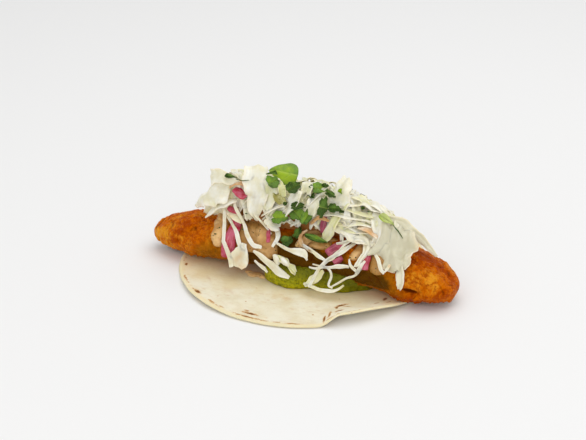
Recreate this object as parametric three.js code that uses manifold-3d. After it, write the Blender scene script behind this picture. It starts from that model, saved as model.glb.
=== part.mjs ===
// A battered fish taco, open on its tortilla: one long fried fillet on a flat flour tortilla,
// banded with thick chipotle crema, over green salsa, under shredded cabbage, pickled onion
// and cilantro leaves.
//
// Millimetres. X runs along the fish, Y away from the open front, Z up. The origin is on the
// table, under the middle of the tortilla.
import * as THREE from "three";
import { mergeVertices } from "three/addons/utils/BufferGeometryUtils.js";
import Module from "manifold-3d";

const wasm = await Module();
wasm.setup();

// ---------------------------------------------------------------- driving dimensions

const GAP = 0.3; // clearance between pieces that touch

const TORTILLA = { radius: 76, thick: 1.8, flatRadius: 54, segments: 60 };
// Stretches of the rim that curl off the table, by their bearing in degrees.
const CURLS = [
  { start: -62, full: -52, fade: -41, end: -24, height: 7.5 },
  { start: 34, full: 58, fade: 76, end: 112, height: 4 },
  { start: 204, full: 222, fade: 236, end: 262, height: 1.6 },
];

const FISH = {
  halfLength: 97,
  y: -5.5, // the fillet lies a little in front of the tortilla's middle
  axisZ: 15.5,
  // Pairs are for the left end and the right end.
  halfWidth: [21, 22.6],
  halfHeight: [14, 14.3],
  widthTaper: [3.3, 6.8], // powers: a higher one keeps the end full for longer
  heightTaper: [5.6, 4.6],
  sweep: [2, -9], // how far each end bends away in Y
  droop: [4.6, 5.5], // and hangs below the middle
  crag: 1.1, // height of the crags in the batter
  skirt: 2.6, // thin fin of batter low on the right end
  along: 42,
  around: 22,
};

const SALSA = { x: 14, y: -12, halfLength: 35, front: 20.5, back: 30, height: 13, film: 1.2 };

const SKIN_TURN = 25; // units of around in which the skin falls from the fillet's side
const RUN_OUT = 0.5; // and millimetres per unit beyond, out over the tortilla

const HEAP = { left: -76, crownFrom: -42, crownTo: 14, right: 92, height: 25.5, coreDepth: 1.5 };

const CREMA = { proud: 1.6, sunk: 1 };
const ONION_THICK = 1.3;
const CABBAGE_THICK = 0.9;
const LEAF_THICK = 0.6;

// ---------------------------------------------------------------- small maths

const mix = (a, b, t) => a + (b - a) * t;
const smooth = (a, b, t) => THREE.MathUtils.smoothstep((t - a) / (b - a), 0, 1);
const arch = (u) => 4 * u * (1 - u);
const radians = THREE.MathUtils.degToRad;
const vector = (x, y, z) => new THREE.Vector3(x, y, z);

// Random draws between two bounds, the same on every run.
function seeded(seed) {
  let state = seed;
  return (low, high) => {
    state = (Math.imul(state, 1664525) + 1013904223) >>> 0;
    return low + (high - low) * (state / 4294967296);
  };
}

// Lumps from waves of three unlike lengths, between about -1 and 1.
function lumps(x, y, z) {
  const broad = Math.sin(0.31 * x + 0.7 * z) * Math.cos(0.43 * y + 0.21 * x);
  const middle = Math.sin(0.83 * y - 0.57 * x + 1.3) * Math.cos(0.91 * z + 0.37 * x);
  const fine = Math.sin(1.37 * x + 1.9 * y) * Math.sin(1.53 * z - 1.1 * y + 0.6);
  return 0.45 * broad + 0.35 * middle + 0.3 * fine;
}

// ---------------------------------------------------------------- solids

// A geometry as a closed solid.
function solidOf(geometry) {
  const bare = new THREE.BufferGeometry();
  bare.setAttribute("position", geometry.getAttribute("position"));
  bare.setIndex(geometry.index);
  const merged = mergeVertices(bare, 1e-4);
  return new wasm.Manifold(
    new wasm.Mesh({
      numProp: 3,
      vertProperties: merged.attributes.position.array,
      triVerts: new Uint32Array(merged.index.array),
    }),
  );
}

const joined = (solids) => solids.reduce((whole, solid) => whole.add(solid));

// The largest body of a solid: scraps that a cut leaves loose are dropped.
function largest(solid) {
  const bodies = solid.decompose();
  return bodies.sort((a, b) => b.volume() - a.volume())[0];
}

function meshOf(name, solid, material) {
  const { vertProperties, triVerts } = solid.getMesh();
  const geometry = new THREE.BufferGeometry();
  geometry.setAttribute("position", new THREE.BufferAttribute(vertProperties, 3));
  geometry.setIndex(new THREE.BufferAttribute(triVerts, 1));
  geometry.computeVertexNormals();
  const mesh = new THREE.Mesh(geometry, material);
  mesh.name = name;
  return mesh;
}

// Moves every vertex of a geometry by a function of its place and its uv.
function shaped(geometry, place) {
  const at = geometry.attributes.position;
  const uv = geometry.attributes.uv;
  for (let i = 0; i < at.count; i++) {
    const local = vector(at.getX(i), at.getY(i), at.getZ(i));
    const moved = place(local, uv ? uv.getX(i) : 0, uv ? uv.getY(i) : 0);
    at.setXYZ(i, moved.x, moved.y, moved.z);
  }
  return geometry;
}

// A thin closed slab: one grid of triangles on both faces, joined round the edge.
// place(u, v, side) gives a point of the face on that side, 1 or -1.
function slab(lengthSteps, widthSteps, place) {
  const face = new THREE.PlaneGeometry(1, 1, lengthSteps, widthSteps);
  const uv = face.attributes.uv;
  const count = uv.count;
  const positions = [];
  for (const side of [1, -1]) {
    for (let i = 0; i < count; i++) {
      positions.push(...place(uv.getX(i), uv.getY(i), side).toArray());
    }
  }
  const index = [];
  const corners = face.index.array;
  for (let i = 0; i < corners.length; i += 3) {
    const [a, b, c] = [corners[i], corners[i + 1], corners[i + 2]];
    index.push(a, b, c, a + count, c + count, b + count);
  }
  const row = lengthSteps + 1;
  const rim = [];
  for (let i = 0; i < lengthSteps; i++) rim.push(widthSteps * row + i);
  for (let j = widthSteps; j > 0; j--) rim.push(j * row + lengthSteps);
  for (let i = lengthSteps; i > 0; i--) rim.push(i);
  for (let j = 0; j < widthSteps; j++) rim.push(j * row);
  rim.forEach((a, k) => {
    const b = rim[(k + 1) % rim.length];
    index.push(a + count, b + count, b, a + count, b, a);
  });
  const geometry = new THREE.BufferGeometry();
  geometry.setAttribute("position", new THREE.Float32BufferAttribute(positions, 3));
  geometry.setIndex(index);
  return solidOf(geometry);
}

// ---------------------------------------------------------------- tortilla

// How far the rim is off the table at a bearing.
function rimLift(bearing) {
  const turn = bearing < -90 ? bearing + 360 : bearing;
  return CURLS.reduce((sum, curl) => {
    const rise = smooth(curl.start, curl.full, turn);
    const fall = 1 - smooth(curl.fade, curl.end, turn);
    return sum + curl.height * rise * fall;
  }, 0);
}

// The height of the tortilla's underside.
function tortillaUnder(x, y) {
  const bearing = THREE.MathUtils.radToDeg(Math.atan2(y, x));
  const out = (Math.hypot(x, y) - TORTILLA.flatRadius) / (TORTILLA.radius - TORTILLA.flatRadius);
  return rimLift(bearing) * Math.max(out, 0) ** 1.5;
}

function tortillaSolid() {
  const { radius, thick, flatRadius, segments } = TORTILLA;
  const edge = radius - thick / 2;
  const rings = [flatRadius, mix(flatRadius, edge, 0.5), edge];
  const profile = [
    new THREE.Vector2(0, 0),
    ...rings.map((r) => new THREE.Vector2(r, 0)),
    new THREE.Vector2(radius, thick / 2),
    ...rings.reverse().map((r) => new THREE.Vector2(r, thick)),
    new THREE.Vector2(0, thick),
  ];
  const disc = new THREE.LatheGeometry(profile, segments).rotateX(Math.PI / 2);
  const turned = shaped(disc, (p) => vector(p.x, -p.y, thick - p.z));
  return solidOf(shaped(turned, (p) => vector(p.x, p.y, p.z + tortillaUnder(p.x, p.y))));
}

// ---------------------------------------------------------------- the fillet's form

// The fillet's cross-section at x: its middle, half-width a and half-height b.
function section(x) {
  const left = x < 0;
  const reach = Math.min(Math.abs(x) / FISH.halfLength, 1);
  const swell = smooth(-30, 40, x);
  const wide = mix(...FISH.halfWidth, swell);
  const tall = mix(...FISH.halfHeight, swell);
  const end = left ? 0 : 1;
  const bent = left ? smooth(-45, -FISH.halfLength, x) : smooth(28, FISH.halfLength, x);
  const straight = left ? 30 : 48; // the length that doesn't droop
  const out = THREE.MathUtils.clamp(Math.abs(x) - straight, 0, FISH.halfLength - straight);
  const hung = (out / (FISH.halfLength - straight)) ** (left ? 1.6 : 1.2);
  return {
    y: FISH.y + FISH.sweep[end] * bent,
    z: FISH.axisZ - FISH.droop[end] * hung,
    a: wide * Math.sqrt(1 - reach ** FISH.widthTaper[end]),
    b: tall * Math.sqrt(1 - reach ** FISH.heightTaper[end]),
  };
}

// The lowest that the fillet reaches: it lies on the tortilla, and on the film of salsa.
function fishFloor(x) {
  const overTortilla = 1 - smooth(TORTILLA.radius + 2, TORTILLA.radius + 10, Math.abs(x));
  const overSalsa = 1 - smooth(SALSA.halfLength, SALSA.halfLength + 5, Math.abs(x - SALSA.x));
  return (TORTILLA.thick + GAP) * overTortilla + (SALSA.film + GAP) * overSalsa;
}

// A point on the fillet: around is 0 at the front, 90 on top, 180 at the back.
function fishAt(x, around, lift) {
  const { y, z, a, b } = section(x);
  const angle = radians(around);
  const round = a * b < 1e-6 ? 0 : (a * b) / Math.hypot(b * Math.cos(angle), a * Math.sin(angle));
  const finLength = smooth(58, 66, x) * smooth(FISH.halfLength, 89, x);
  const finAround = Math.exp(-(((around + 36) / 17) ** 2));
  const out = round + lift + FISH.skirt * finLength * finAround;
  return vector(x, y - out * Math.cos(angle), z + out * Math.sin(angle));
}

// The fillet grown all round by a clearance, or with its crags where grow is 0.
function fishBody(grow) {
  const rough = grow === 0;
  const ball = new THREE.SphereGeometry(1, FISH.around, rough ? FISH.along : FISH.along / 2);
  return solidOf(
    shaped(ball, (_, u, v) => {
      const x = -Math.cos(Math.PI * v) * (FISH.halfLength + grow);
      const around = 270 - 360 * (u % 1);
      const pole = v < 1e-6 || v > 1 - 1e-6;
      const inside = THREE.MathUtils.clamp(x, -FISH.halfLength, FISH.halfLength);
      const smoothPoint = fishAt(inside, around, 0);
      const relief = FISH.crag * lumps(smoothPoint.x, smoothPoint.y, smoothPoint.z);
      const lift = pole ? 0 : rough ? relief * Math.sin(Math.PI * v) ** 0.5 : grow + FISH.crag;
      const point = fishAt(inside, around, lift);
      return vector(x, point.y, Math.max(point.z, fishFloor(x) - (rough ? 0 : grow)));
    }),
  );
}

// ---------------------------------------------------------------- the heap's outline

function heapHeight(x) {
  const rise = smooth(HEAP.left, HEAP.crownFrom, x);
  const fall = Math.max(x - HEAP.crownTo, 0) / (HEAP.right - HEAP.crownTo);
  return HEAP.height * rise * Math.max(1 - fall, 0);
}

// A point over the fillet and the heap on it. around is as on the fillet. Below 0 and past 180
// it falls from the fillet's side and runs out over the tortilla.
function skin(x, around, lift) {
  const { y, z, a } = section(x);
  const side = around < 90 ? -1 : 1;
  const past = around < 90 ? -around : around - 180;
  if (past > 0) {
    const ground = TORTILLA.thick + 1 + lift;
    const drop = z + lift - ground;
    const fall = radians(90 * Math.min(past / SKIN_TURN, 1));
    const run = RUN_OUT * Math.max(past - SKIN_TURN, 0);
    const out = a + lift + drop * (1 - Math.cos(fall)) + run;
    return vector(x, y + side * out, ground + (drop - lift) * (1 - Math.sin(fall)));
  }
  const onHeap = around < 97 ? smooth(45, 95, around) : smooth(172, 104, around);
  return fishAt(x, around, heapHeight(x) * onHeap + lift);
}

// A strip along the skin from one place to another, each [x, around, lift].
// It comes to its end's lift at rise, a share of its length. bend and swing carry its middle
// aside along x and around, bow lifts it, cup curls its section, turn twists it end to end,
// ruffle waves its edges, and face aims a standing strip.
function strip(spec, thick, grow = 0) {
  const { from, to, width, rise = 1, bend = 0, swing = 0, bow = 0 } = spec;
  const { cup = 0, turn = 0, ruffle = 0 } = spec;
  const at = (u) =>
    skin(
      mix(from[0], to[0], u) + bend * arch(u),
      mix(from[1], to[1], u) + swing * arch(u),
      mix(from[2], to[2], Math.min(u / rise, 1)) + bow * arch(u),
    );
  const length = at(0).distanceTo(at(0.5)) + at(0.5).distanceTo(at(1));
  const steps = Math.round(THREE.MathUtils.clamp(length / 9, 2, 6));
  const across = cup || ruffle ? 2 : 1;
  return slab(steps, across, (u, v, side) => {
    const middle = at(u);
    const along = at(u + 0.02).sub(at(u - 0.02)).normalize();
    const raised = skin(middle.x, mix(from[1], to[1], u), 5);
    const flat = skin(middle.x, mix(from[1], to[1], u), 0);
    const out = spec.face ? vector(...spec.face) : raised.sub(flat);
    const aside = out.cross(along).normalize().applyAxisAngle(along, radians(turn) * (u - 0.5));
    const normal = along.clone().cross(aside);
    const blunt = 1 - (cup ? 0.45 : 0.2) * (2 * u - 1) ** 6;
    const reach = (v - 0.5) * (mix(...width, u) * blunt + 2 * grow);
    const curl = cup * (1 - (2 * v - 1) ** 2);
    const wave = ruffle * (2 * v - 1) * Math.sin(9 * u);
    return middle
      .addScaledVector(aside, reach)
      .addScaledVector(along, grow * (2 * u - 1))
      .addScaledVector(normal, curl + wave + side * (thick / 2 + grow));
  });
}

// ---------------------------------------------------------------- crema

// Bands of crema squeezed to and fro over the fillet: ends as [x, around], and width.
const CREMA_BANDS = [
  { from: [-51, 88], to: [-45.5, 10], width: 7 },
  { from: [-29, 88], to: [-25, 9], width: 10 },
  { from: [-19, 84], to: [-13.5, 3], width: 8 },
  { from: [11, 88], to: [4, 27], width: 7 },
  { from: [43, 78], to: [38, 21], width: 7 },
  { from: [53, 62], to: [51.5, 9], width: 8 },
  { from: [-40, 108], to: [-37, 170], width: 8 },
  { from: [-8, 108], to: [-3, 173], width: 9 },
  { from: [24, 108], to: [29, 168], width: 7 },
  { from: [56, 110], to: [50, 171], width: 8 },
];

function cremaBand({ from, to, width }, grow) {
  const right = to[1] < from[1] ? 1 : -1; // the slab's v runs rightwards on the front only
  return slab(6, 3, (u, v, side) => {
    const x = mix(from[0], to[0], u);
    const around = mix(from[1], to[1], u);
    const roundEnd = Math.sqrt(1 - Math.max((u - 0.86) / 0.15, 0) ** 2);
    const across = 2 * v - 1;
    const proud = CREMA.proud * Math.sqrt(1 - 0.9 * across ** 2) * (0.4 + 0.6 * roundEnd) + grow;
    const half = (width / 2) * roundEnd + grow;
    return fishAt(x + right * across * half, around, side > 0 ? proud : -CREMA.sunk);
  });
}

// ---------------------------------------------------------------- salsa

// Spread under the fillet and pressed out past its front and its back.
function salsaMound(grow = 0) {
  const ball = new THREE.SphereGeometry(1, 28, 9);
  const bed = TORTILLA.thick + GAP - grow;
  return solidOf(
    shaped(ball, (p) => {
      const reach = p.y < 0 ? SALSA.front : SALSA.back;
      const bearing = Math.atan2(p.y, p.x);
      const edge = 1 + 0.05 * Math.sin(5 * bearing + 1) + 0.03 * Math.sin(9 * bearing);
      const x = SALSA.x + (SALSA.halfLength + grow) * p.x * edge;
      const y = SALSA.y + (reach + grow) * p.y * edge;
      const rise = Math.max(p.z, 0) ** 0.7 * SALSA.height + grow;
      const grain = rise > 0 ? 0.7 * lumps(2.1 * x, 2.3 * y, 3) : 0;
      return vector(x, y, bed + Math.max(rise + grain, 0));
    }),
  );
}

// ---------------------------------------------------------------- pickled onion

const ONIONS = [
  { from: [-36.5, 60, 2.2], to: [-39, -4, 2.2], width: [6, 9.5], cup: 0.5 },
  { from: [-40, 78, 1], to: [-31, 73, 1], width: [5.5, 4.5], cup: 0.8 },
  { from: [-43, 66.5, 1.4], to: [-36, 63.5, 1.4], width: [3.2, 3] },
  { from: [-16.5, 54, 2.8], to: [-14.5, 26, 2.8], width: [2.8, 3.6] },
  { from: [17, 75, 1.4], to: [16, 57, 1.6], width: [4.2, 2.6] },
  { from: [29.5, 46, 2.2], to: [22, 23, 2.2], width: [4, 5.5], cup: 0.4 },
  { from: [27, 13, 2.1], to: [31.5, 22, 2.1], width: [4.2, 3] },
  { from: [46, 36, 2.3], to: [46.5, 12, 2.3], width: [3.6, 4.2], cup: 0.4 },
  { from: [-28, 122, 1.6], to: [-20, 148, 2.2], width: [5, 4], cup: 0.6 },
  { from: [36, 132, 1.6], to: [40, 164, 2.2], width: [4.4, 4], cup: 0.6 },
];

// ---------------------------------------------------------------- cabbage

// The larger shreds, sheets and ruffled chunks, each fused to the heap.
const CABBAGE = [
  // hanging over the front, from the left end to the right
  { from: [-44, 78, -3], to: [-35, -8, 3.7], rise: 0.35, width: [2.6, 2.2], bend: -2.5 },
  { from: [-42, 78, -3], to: [-28, 7, 4], rise: 0.35, width: [3, 2.8] },
  { from: [-34, 80, -3], to: [-20, 12, 4.2], rise: 0.35, width: [3.6, 3.4], bend: -3.5 },
  { from: [-26, 17, 4.2], to: [-31, -9, 3.4], width: [5, 13], cup: 0.6 },
  { from: [-26, 12, 4.2], to: [2, -12, 3.2], width: [5, 9], cup: 1.2 },
  { from: [-24, 8, 4], to: [-9, -12, 3], width: [1.7, 1.6] },
  { from: [-14, 8, 4], to: [7, -9, 3.6], width: [8, 5], ruffle: 0.8 },
  { from: [-16, 76, -3], to: [-12, 22, 3.6], rise: 0.4, width: [4.5, 3.5] },
  { from: [-13, 36, 3.6], to: [11, 8, 3.6], width: [3.4, 4.6] },
  { from: [-1, 26, 3.8], to: [26, 12, 3.8], width: [2, 1.8] },
  { from: [34, 72, -3], to: [17, -17, 3.6], rise: 0.35, width: [2.6, 2.4], bend: 1.5 },
  { from: [21, 6, 4], to: [12, -15, 3.4], width: [5, 4], ruffle: 0.6 },
  { from: [14, 7, 3.8], to: [36, 13, 3.8], width: [2.4, 3] },
  { from: [22, 12, 4], to: [29, -14, 3.6], width: [2, 1.8], bend: 2 },
  { from: [10, -14, 3.3], to: [35, -13, 3.3], width: [2.2, 2], swing: -3 },
  { from: [28, -11, 3.4], to: [46, 15, 3.8], width: [1.8, 1.6], swing: -2 },
  { from: [44, 72, -3], to: [40, 7, 3.8], rise: 0.3, width: [7, 8], ruffle: 0.8 },
  { from: [52, 100, -3], to: [64, 22, 3], rise: 0.2, width: [24, 18], bend: 2, cup: 1.4 },
  { from: [66, 34, 3], to: [69, -6, 2.8], width: [6, 3] },
  { from: [52, 46, 3], to: [59, 14, 3.2], width: [4, 2.2] },
  { from: [48, 96, -3], to: [85, 101, 1.4], rise: 0.25, width: [9, 6], cup: 0.6 },
  { from: [-47, 76, -3], to: [-57, 57, 2.2], rise: 0.5, width: [3.4, 2.6] },
  // broad pieces over the front of the heap
  { from: [-67, 66, 0], to: [-40, 80, -2.4], width: [7, 15], bow: 2, cup: 1.6 },
  { from: [-47, 84, -4], to: [-59, 92, 12], width: [10, 8.5], face: [0.2, -1, 0.3] },
  { from: [-29, 60, -2], to: [-33, 99, 5], rise: 0.6, width: [11, 14], cup: 1.2 },
  { from: [-22, 94, -2.4], to: [-22, 62, 1.4], rise: 0.3, width: [7, 6], cup: 0.8 },
  { from: [26, 80, -3], to: [20.5, 100, 8.5], width: [9, 8], cup: 0.6 },
  { from: [27, 94, -2.4], to: [4, 62, 1.6], rise: 0.3, width: [5, 6], bend: -2, cup: 0.6 },
  { from: [-13, 94, -2.4], to: [-14, 60, 1], rise: 0.3, width: [4, 5] },
  { from: [-3, 94, -2.4], to: [-7, 59, 0.8], rise: 0.3, width: [5, 4] },
  { from: [24, 84, -2.4], to: [50, 89, 1.6], rise: 0.3, width: [5, 4], cup: 0.6 },
  { from: [26, 72, -2], to: [49, 78, 1.6], rise: 0.3, width: [3, 2.4], swing: -3 },
  { from: [24, 66, -2], to: [46, 58, 2], rise: 0.3, width: [2.6, 2.2], swing: 4 },
  { from: [24, 58, 0.8], to: [44, 70, -2], width: [2, 2.4], swing: -5, bow: 1.4 },
  { from: [-6, 92, -3], to: [5, 97, 5.5], rise: 0.7, width: [7, 5], cup: 0.8 },
  { from: [-26, 94, -3], to: [-16, 98, 4.5], rise: 0.5, width: [6, 7] },
  { from: [48, 92, -3], to: [58, 96, 3.5], rise: 0.6, width: [7, 4] },
];

const SCATTERED_SHREDS = 15;
const BACK_SHREDS = 8;

// Shreds laid at random over the crown and the back, and hanging down the back.
function looseShreds() {
  const draw = seeded(7);
  const specs = [];
  for (let k = 0; k < SCATTERED_SHREDS; k++) {
    const x = mix(-58, 56, (k + draw(0, 1)) / SCATTERED_SHREDS);
    const around = draw(74, 150);
    specs.push({
      from: [x, around, -2.6],
      to: [x + draw(-20, 20), around + draw(-26, 26), draw(0.2, 2.6)],
      rise: draw(0.25, 0.6),
      width: [draw(2, 4.6), draw(1.8, 4)],
      bend: draw(-3, 3),
    });
  }
  for (let k = 0; k < BACK_SHREDS; k++) {
    const x = mix(-54, 62, (k + draw(0.1, 0.9)) / BACK_SHREDS);
    specs.push({
      from: [x, 112, -3],
      to: [x + draw(-9, 9), draw(158, 198), 3.4],
      rise: 0.4,
      width: [draw(2.4, 7), draw(2, 4.5)],
      bend: draw(-2, 2),
    });
  }
  return specs;
}

// The packed middle of the heap. It reaches down into the fillet, which is then cut out of it.
function cabbageCore() {
  const ball = new THREE.SphereGeometry(1, 18, 20);
  return solidOf(
    shaped(ball, (_, u, v) => {
      const x = mix(HEAP.left + 8, HEAP.right - 8, 0.5 - 0.5 * Math.cos(Math.PI * v));
      const around = 270 - 360 * (u % 1);
      const deep = -HEAP.coreDepth - 6 * (1 - smooth(0, 0.12, v) * smooth(1, 0.88, v));
      const { y, z, b } = section(x);
      if (v < 1e-6 || v > 1 - 1e-6) return vector(x, y, z);
      if (around <= 40 || around >= 168) return fishAt(x, around, Math.min(deep, -0.6 * b));
      return skin(x, around, deep + 1.3 * lumps(1.3 * x, around / 2, 0));
    }),
  );
}

// ---------------------------------------------------------------- cilantro

// Leaves: at [x, around, lift], length, width, spin in the skin's plane, and lean out of it.
const LEAVES = [
  { at: [-14, 96, 6], length: 17, width: 14, spin: 0, lean: 48, cup: -3 },
  { at: [-17.5, 87, 1.2], length: 7, width: 7, spin: 20, lean: -10, cup: 1 },
  { at: [-4.5, 86, 1.6], length: 11, width: 7, spin: 80, lean: 0, cup: 1 },
  { at: [-40.5, 91, 2], length: 14, width: 4, spin: -12, lean: 50, cup: 0.8 },
  { at: [10.5, 89, 2], length: 9, width: 7, spin: 10, lean: 20, cup: 1 },
  { at: [8.5, 79, 1], length: 7, width: 3.6, spin: -50, lean: 0, cup: 0.6 },
  { at: [20.5, 87, 1.4], length: 10, width: 5, spin: -15, lean: 25, cup: 0.8 },
  { at: [14.5, 73, 3.4], length: 13, width: 6, spin: 85, lean: 0, cup: 1 },
  { at: [23.2, 76, 1.6], length: 8, width: 6, spin: 15, lean: 0, cup: 1 },
  { at: [0.5, 69, 1.6], length: 12, width: 10, spin: -40, lean: 0, cup: 1.4 },
  { at: [8.5, 60, 2.4], length: 13, width: 5, spin: 75, lean: 0, cup: 0.8 },
  { at: [-10, 62, 1.6], length: 9.5, width: 8, spin: 5, lean: 0, cup: 1 },
  { at: [-3.5, 33, 2], length: 7, width: 7, spin: 30, lean: 0, cup: 0.6 },
  { at: [14, 45, 2.6], length: 13, width: 5, spin: -12, lean: 0, cup: 0.8 },
  { at: [49.5, 84, 2], length: 8, width: 6, spin: -20, lean: 10, cup: 0.8 },
  { at: [1.5, 50, 2.4], length: 7, width: 4, spin: 80, lean: 0, cup: 0.8 },
  { at: [-34, 118, 1.6], length: 11, width: 9, spin: 30, lean: 0, cup: 1.2 },
  { at: [2, 124, 1.6], length: 13, width: 8, spin: -35, lean: 0, cup: 1.2 },
  { at: [30, 118, 1.6], length: 10, width: 8, spin: 60, lean: 0, cup: 1 },
  { at: [-12, 150, 1.8], length: 9, width: 7, spin: 10, lean: 0, cup: 0.8 },
];

// A leaflet's outline: five blunt lobes, each between two notches, with a notch at the foot.
function leafShape(length, width) {
  const lobes = 5;
  const outline = [];
  for (let k = 0; k < lobes; k++) {
    const notch = Math.PI + (2 * Math.PI * k) / lobes;
    for (const [step, reach] of [[0, 0.68], [0.36, 1], [0.66, 1]]) {
      const angle = notch + (2 * Math.PI * step) / lobes;
      const x = (length / 2) * reach * Math.cos(angle);
      outline.push(new THREE.Vector2(x, (width / 2) * reach * Math.sin(angle)));
    }
  }
  return new THREE.Shape(outline);
}

// grow thickens and widens the leaf for the clearance that the cabbage keeps to it.
function leaf({ at, length, width, spin, lean, cup }, grow = 0) {
  const [x, around, lift] = at;
  const middle = skin(x, around, lift);
  const out = skin(x, around, lift + 4).sub(middle).normalize();
  const lengthwise = skin(x + 3, around, lift).sub(skin(x - 3, around, lift)).normalize();
  lengthwise.applyAxisAngle(out, radians(spin));
  const crosswise = out.clone().cross(lengthwise).normalize();
  crosswise.applyAxisAngle(lengthwise, radians(lean));
  const normal = lengthwise.clone().cross(crosswise);
  const depth = LEAF_THICK + 2 * grow;
  const blade = new THREE.ExtrudeGeometry(leafShape(length + 2 * grow, width + 2 * grow), {
    depth,
    bevelEnabled: false,
  });
  const index = Array.from({ length: blade.attributes.position.count }, (_, i) => i);
  blade.setIndex(index);
  return solidOf(
    shaped(blade, (p) => {
      const [alongLeaf, acrossLeaf] = [(2 * p.x) / length, (2 * p.y) / width];
      const wave = 0.35 * Math.sin(3 * alongLeaf + 2 * acrossLeaf);
      const rise = cup * (acrossLeaf ** 2 + 0.4 * alongLeaf ** 2) * 0.5 + wave;
      return middle
        .clone()
        .addScaledVector(lengthwise, p.x)
        .addScaledVector(crosswise, p.y)
        .addScaledVector(normal, p.z - depth / 2 + rise);
    }),
  );
}

// ---------------------------------------------------------------- materials

const material = (color, roughness) =>
  new THREE.MeshStandardMaterial({ color, roughness, metalness: 0 });

// ---------------------------------------------------------------- assembly

const fishClearance = fishBody(GAP);
const cremaClearance = joined(CREMA_BANDS.map((band) => cremaBand(band, GAP)));
const keptClear = [
  fishClearance,
  salsaMound(3 * GAP),
  cremaClearance,
  ...ONIONS.map((spec) => strip(spec, ONION_THICK, GAP)),
  ...LEAVES.map((spec) => leaf(spec, GAP)),
];

const group = new THREE.Group();

group.add(meshOf("tortilla", tortillaSolid(), material(0xe9dcbf, 0.85)));

const salsa = largest(salsaMound().subtract(fishClearance));
group.add(meshOf("green_salsa", salsa, material(0x8f8a22, 0.35)));

const fish = joined([fishBody(0), ...CREMA_BANDS.map((band) => cremaBand(band, 0))]);
group.add(meshOf("battered_fish", fish, material(0xb0611a, 0.6)));

ONIONS.forEach((spec, k) => {
  group.add(meshOf(`onion_${k + 1}`, strip(spec, ONION_THICK), material(0xa63c5c, 0.4)));
});

const shreds = [...CABBAGE, ...looseShreds()].map((spec) => strip(spec, CABBAGE_THICK));
const heap = largest(joined([cabbageCore(), ...shreds]).subtract(joined(keptClear)));
group.add(meshOf("cabbage", heap, material(0xe2e0cc, 0.5)));

LEAVES.forEach((spec, k) => {
  group.add(meshOf(`cilantro_${k + 1}`, leaf(spec), material(0x6f8f2c, 0.5)));
});

export default group;
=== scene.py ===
"""A battered fish taco, open on its tortilla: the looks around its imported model.

Lengths are in millimetres and turned into metres by MM where a mesh's points are placed.
X runs along the fish, Y away from the open front, Z up from the table. A place on the fish or
on the heap is given as x, around and lift: how far along, the bearing about the fish's middle
in degrees, from 0 at the front over 90 on top to 180 at the back, and how far off the skin."""
import math
import random

import bmesh
import bpy
from mathutils import Matrix, Vector, noise


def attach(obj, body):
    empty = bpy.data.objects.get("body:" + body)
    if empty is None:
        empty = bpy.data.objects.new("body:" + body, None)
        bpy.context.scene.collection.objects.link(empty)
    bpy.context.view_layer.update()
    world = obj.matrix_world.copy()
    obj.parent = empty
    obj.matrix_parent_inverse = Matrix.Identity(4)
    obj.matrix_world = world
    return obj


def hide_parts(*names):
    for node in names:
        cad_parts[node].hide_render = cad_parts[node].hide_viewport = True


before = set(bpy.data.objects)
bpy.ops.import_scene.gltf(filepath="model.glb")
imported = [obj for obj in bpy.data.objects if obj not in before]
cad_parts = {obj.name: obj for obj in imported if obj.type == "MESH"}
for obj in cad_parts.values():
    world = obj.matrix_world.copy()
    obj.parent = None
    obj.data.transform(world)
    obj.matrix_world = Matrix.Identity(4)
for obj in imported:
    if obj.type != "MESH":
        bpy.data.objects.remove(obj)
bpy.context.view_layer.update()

# ---------------------------------------------------------------- camera
# A short telephoto lens on a tripod, a little above the table and off to the taco's right.
MM = 0.001
CAMERA_BEARING = math.radians(20)
CAMERA_HEIGHT = math.radians(25)
CAMERA_DISTANCE = 830
AIM_RIGHT, AIM_UP = -7.6, 28.0  # where it looks, from the middle of the tortilla
LENS_LENGTH = 85
SENSOR_WIDTH = 36

toward_camera = Vector((
    math.sin(CAMERA_BEARING) * math.cos(CAMERA_HEIGHT),
    -math.cos(CAMERA_BEARING) * math.cos(CAMERA_HEIGHT),
    math.sin(CAMERA_HEIGHT),
))
rightward = Vector((math.cos(CAMERA_BEARING), math.sin(CAMERA_BEARING), 0))
upward = toward_camera.cross(rightward)
aim = rightward * AIM_RIGHT + upward * AIM_UP
lens = bpy.data.cameras.new("camera")
lens.lens = LENS_LENGTH
lens.sensor_width = SENSOR_WIDTH
camera = bpy.data.objects.new("camera", lens)
camera.location = (aim + toward_camera * CAMERA_DISTANCE) * MM
camera.rotation_euler = toward_camera.to_track_quat("Z", "Y").to_euler()
bpy.context.scene.collection.objects.link(camera)
bpy.context.scene.camera = camera

# ---------------------------------------------------------------- table and light
# A white sweep under one wide softbox, overhead and a little behind, with a weaker one low in
# front and the rest of the light off the pale walls of the studio.
FLOOR_HALF = 3000
FLOOR_WHITE = 240
WALL_LIGHT = 0.66
WALL_WHITE = (1.0, 1.0, 1.0, 1.0)
SOFTBOXES = [  # name, width and depth in metres, watts, where it hangs in metres, and colour
    ("overhead_softbox", (1.4, 1.2), 6.2, (0.22, 0.18, 1.15), (1.0, 0.995, 0.98)),
    ("front_softbox", (1.2, 1.0), 3.9, (0.1, -1.15, 0.62), (1.0, 0.99, 0.97)),
]


class Wire:
    """A shader socket. Used in an expression, it adds the Math nodes that work it out."""

    def __init__(self, shade, socket):
        self.shade, self.socket = shade, socket

    def math(self, operation, *others):
        """A Math node on this socket and the others."""
        inputs = dict(enumerate((self, *others)))
        return self.shade.add("Math", {"operation": operation}, inputs)

    def __add__(self, other):
        return self.math("ADD", other)

    def __sub__(self, other):
        return self.math("SUBTRACT", other)

    def __rsub__(self, other):
        return self * -1 + other

    def __mul__(self, other):
        return self.math("MULTIPLY", other)

    def __truediv__(self, other):
        return self.math("DIVIDE", other)

    __radd__ = __add__
    __rmul__ = __mul__


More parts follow.
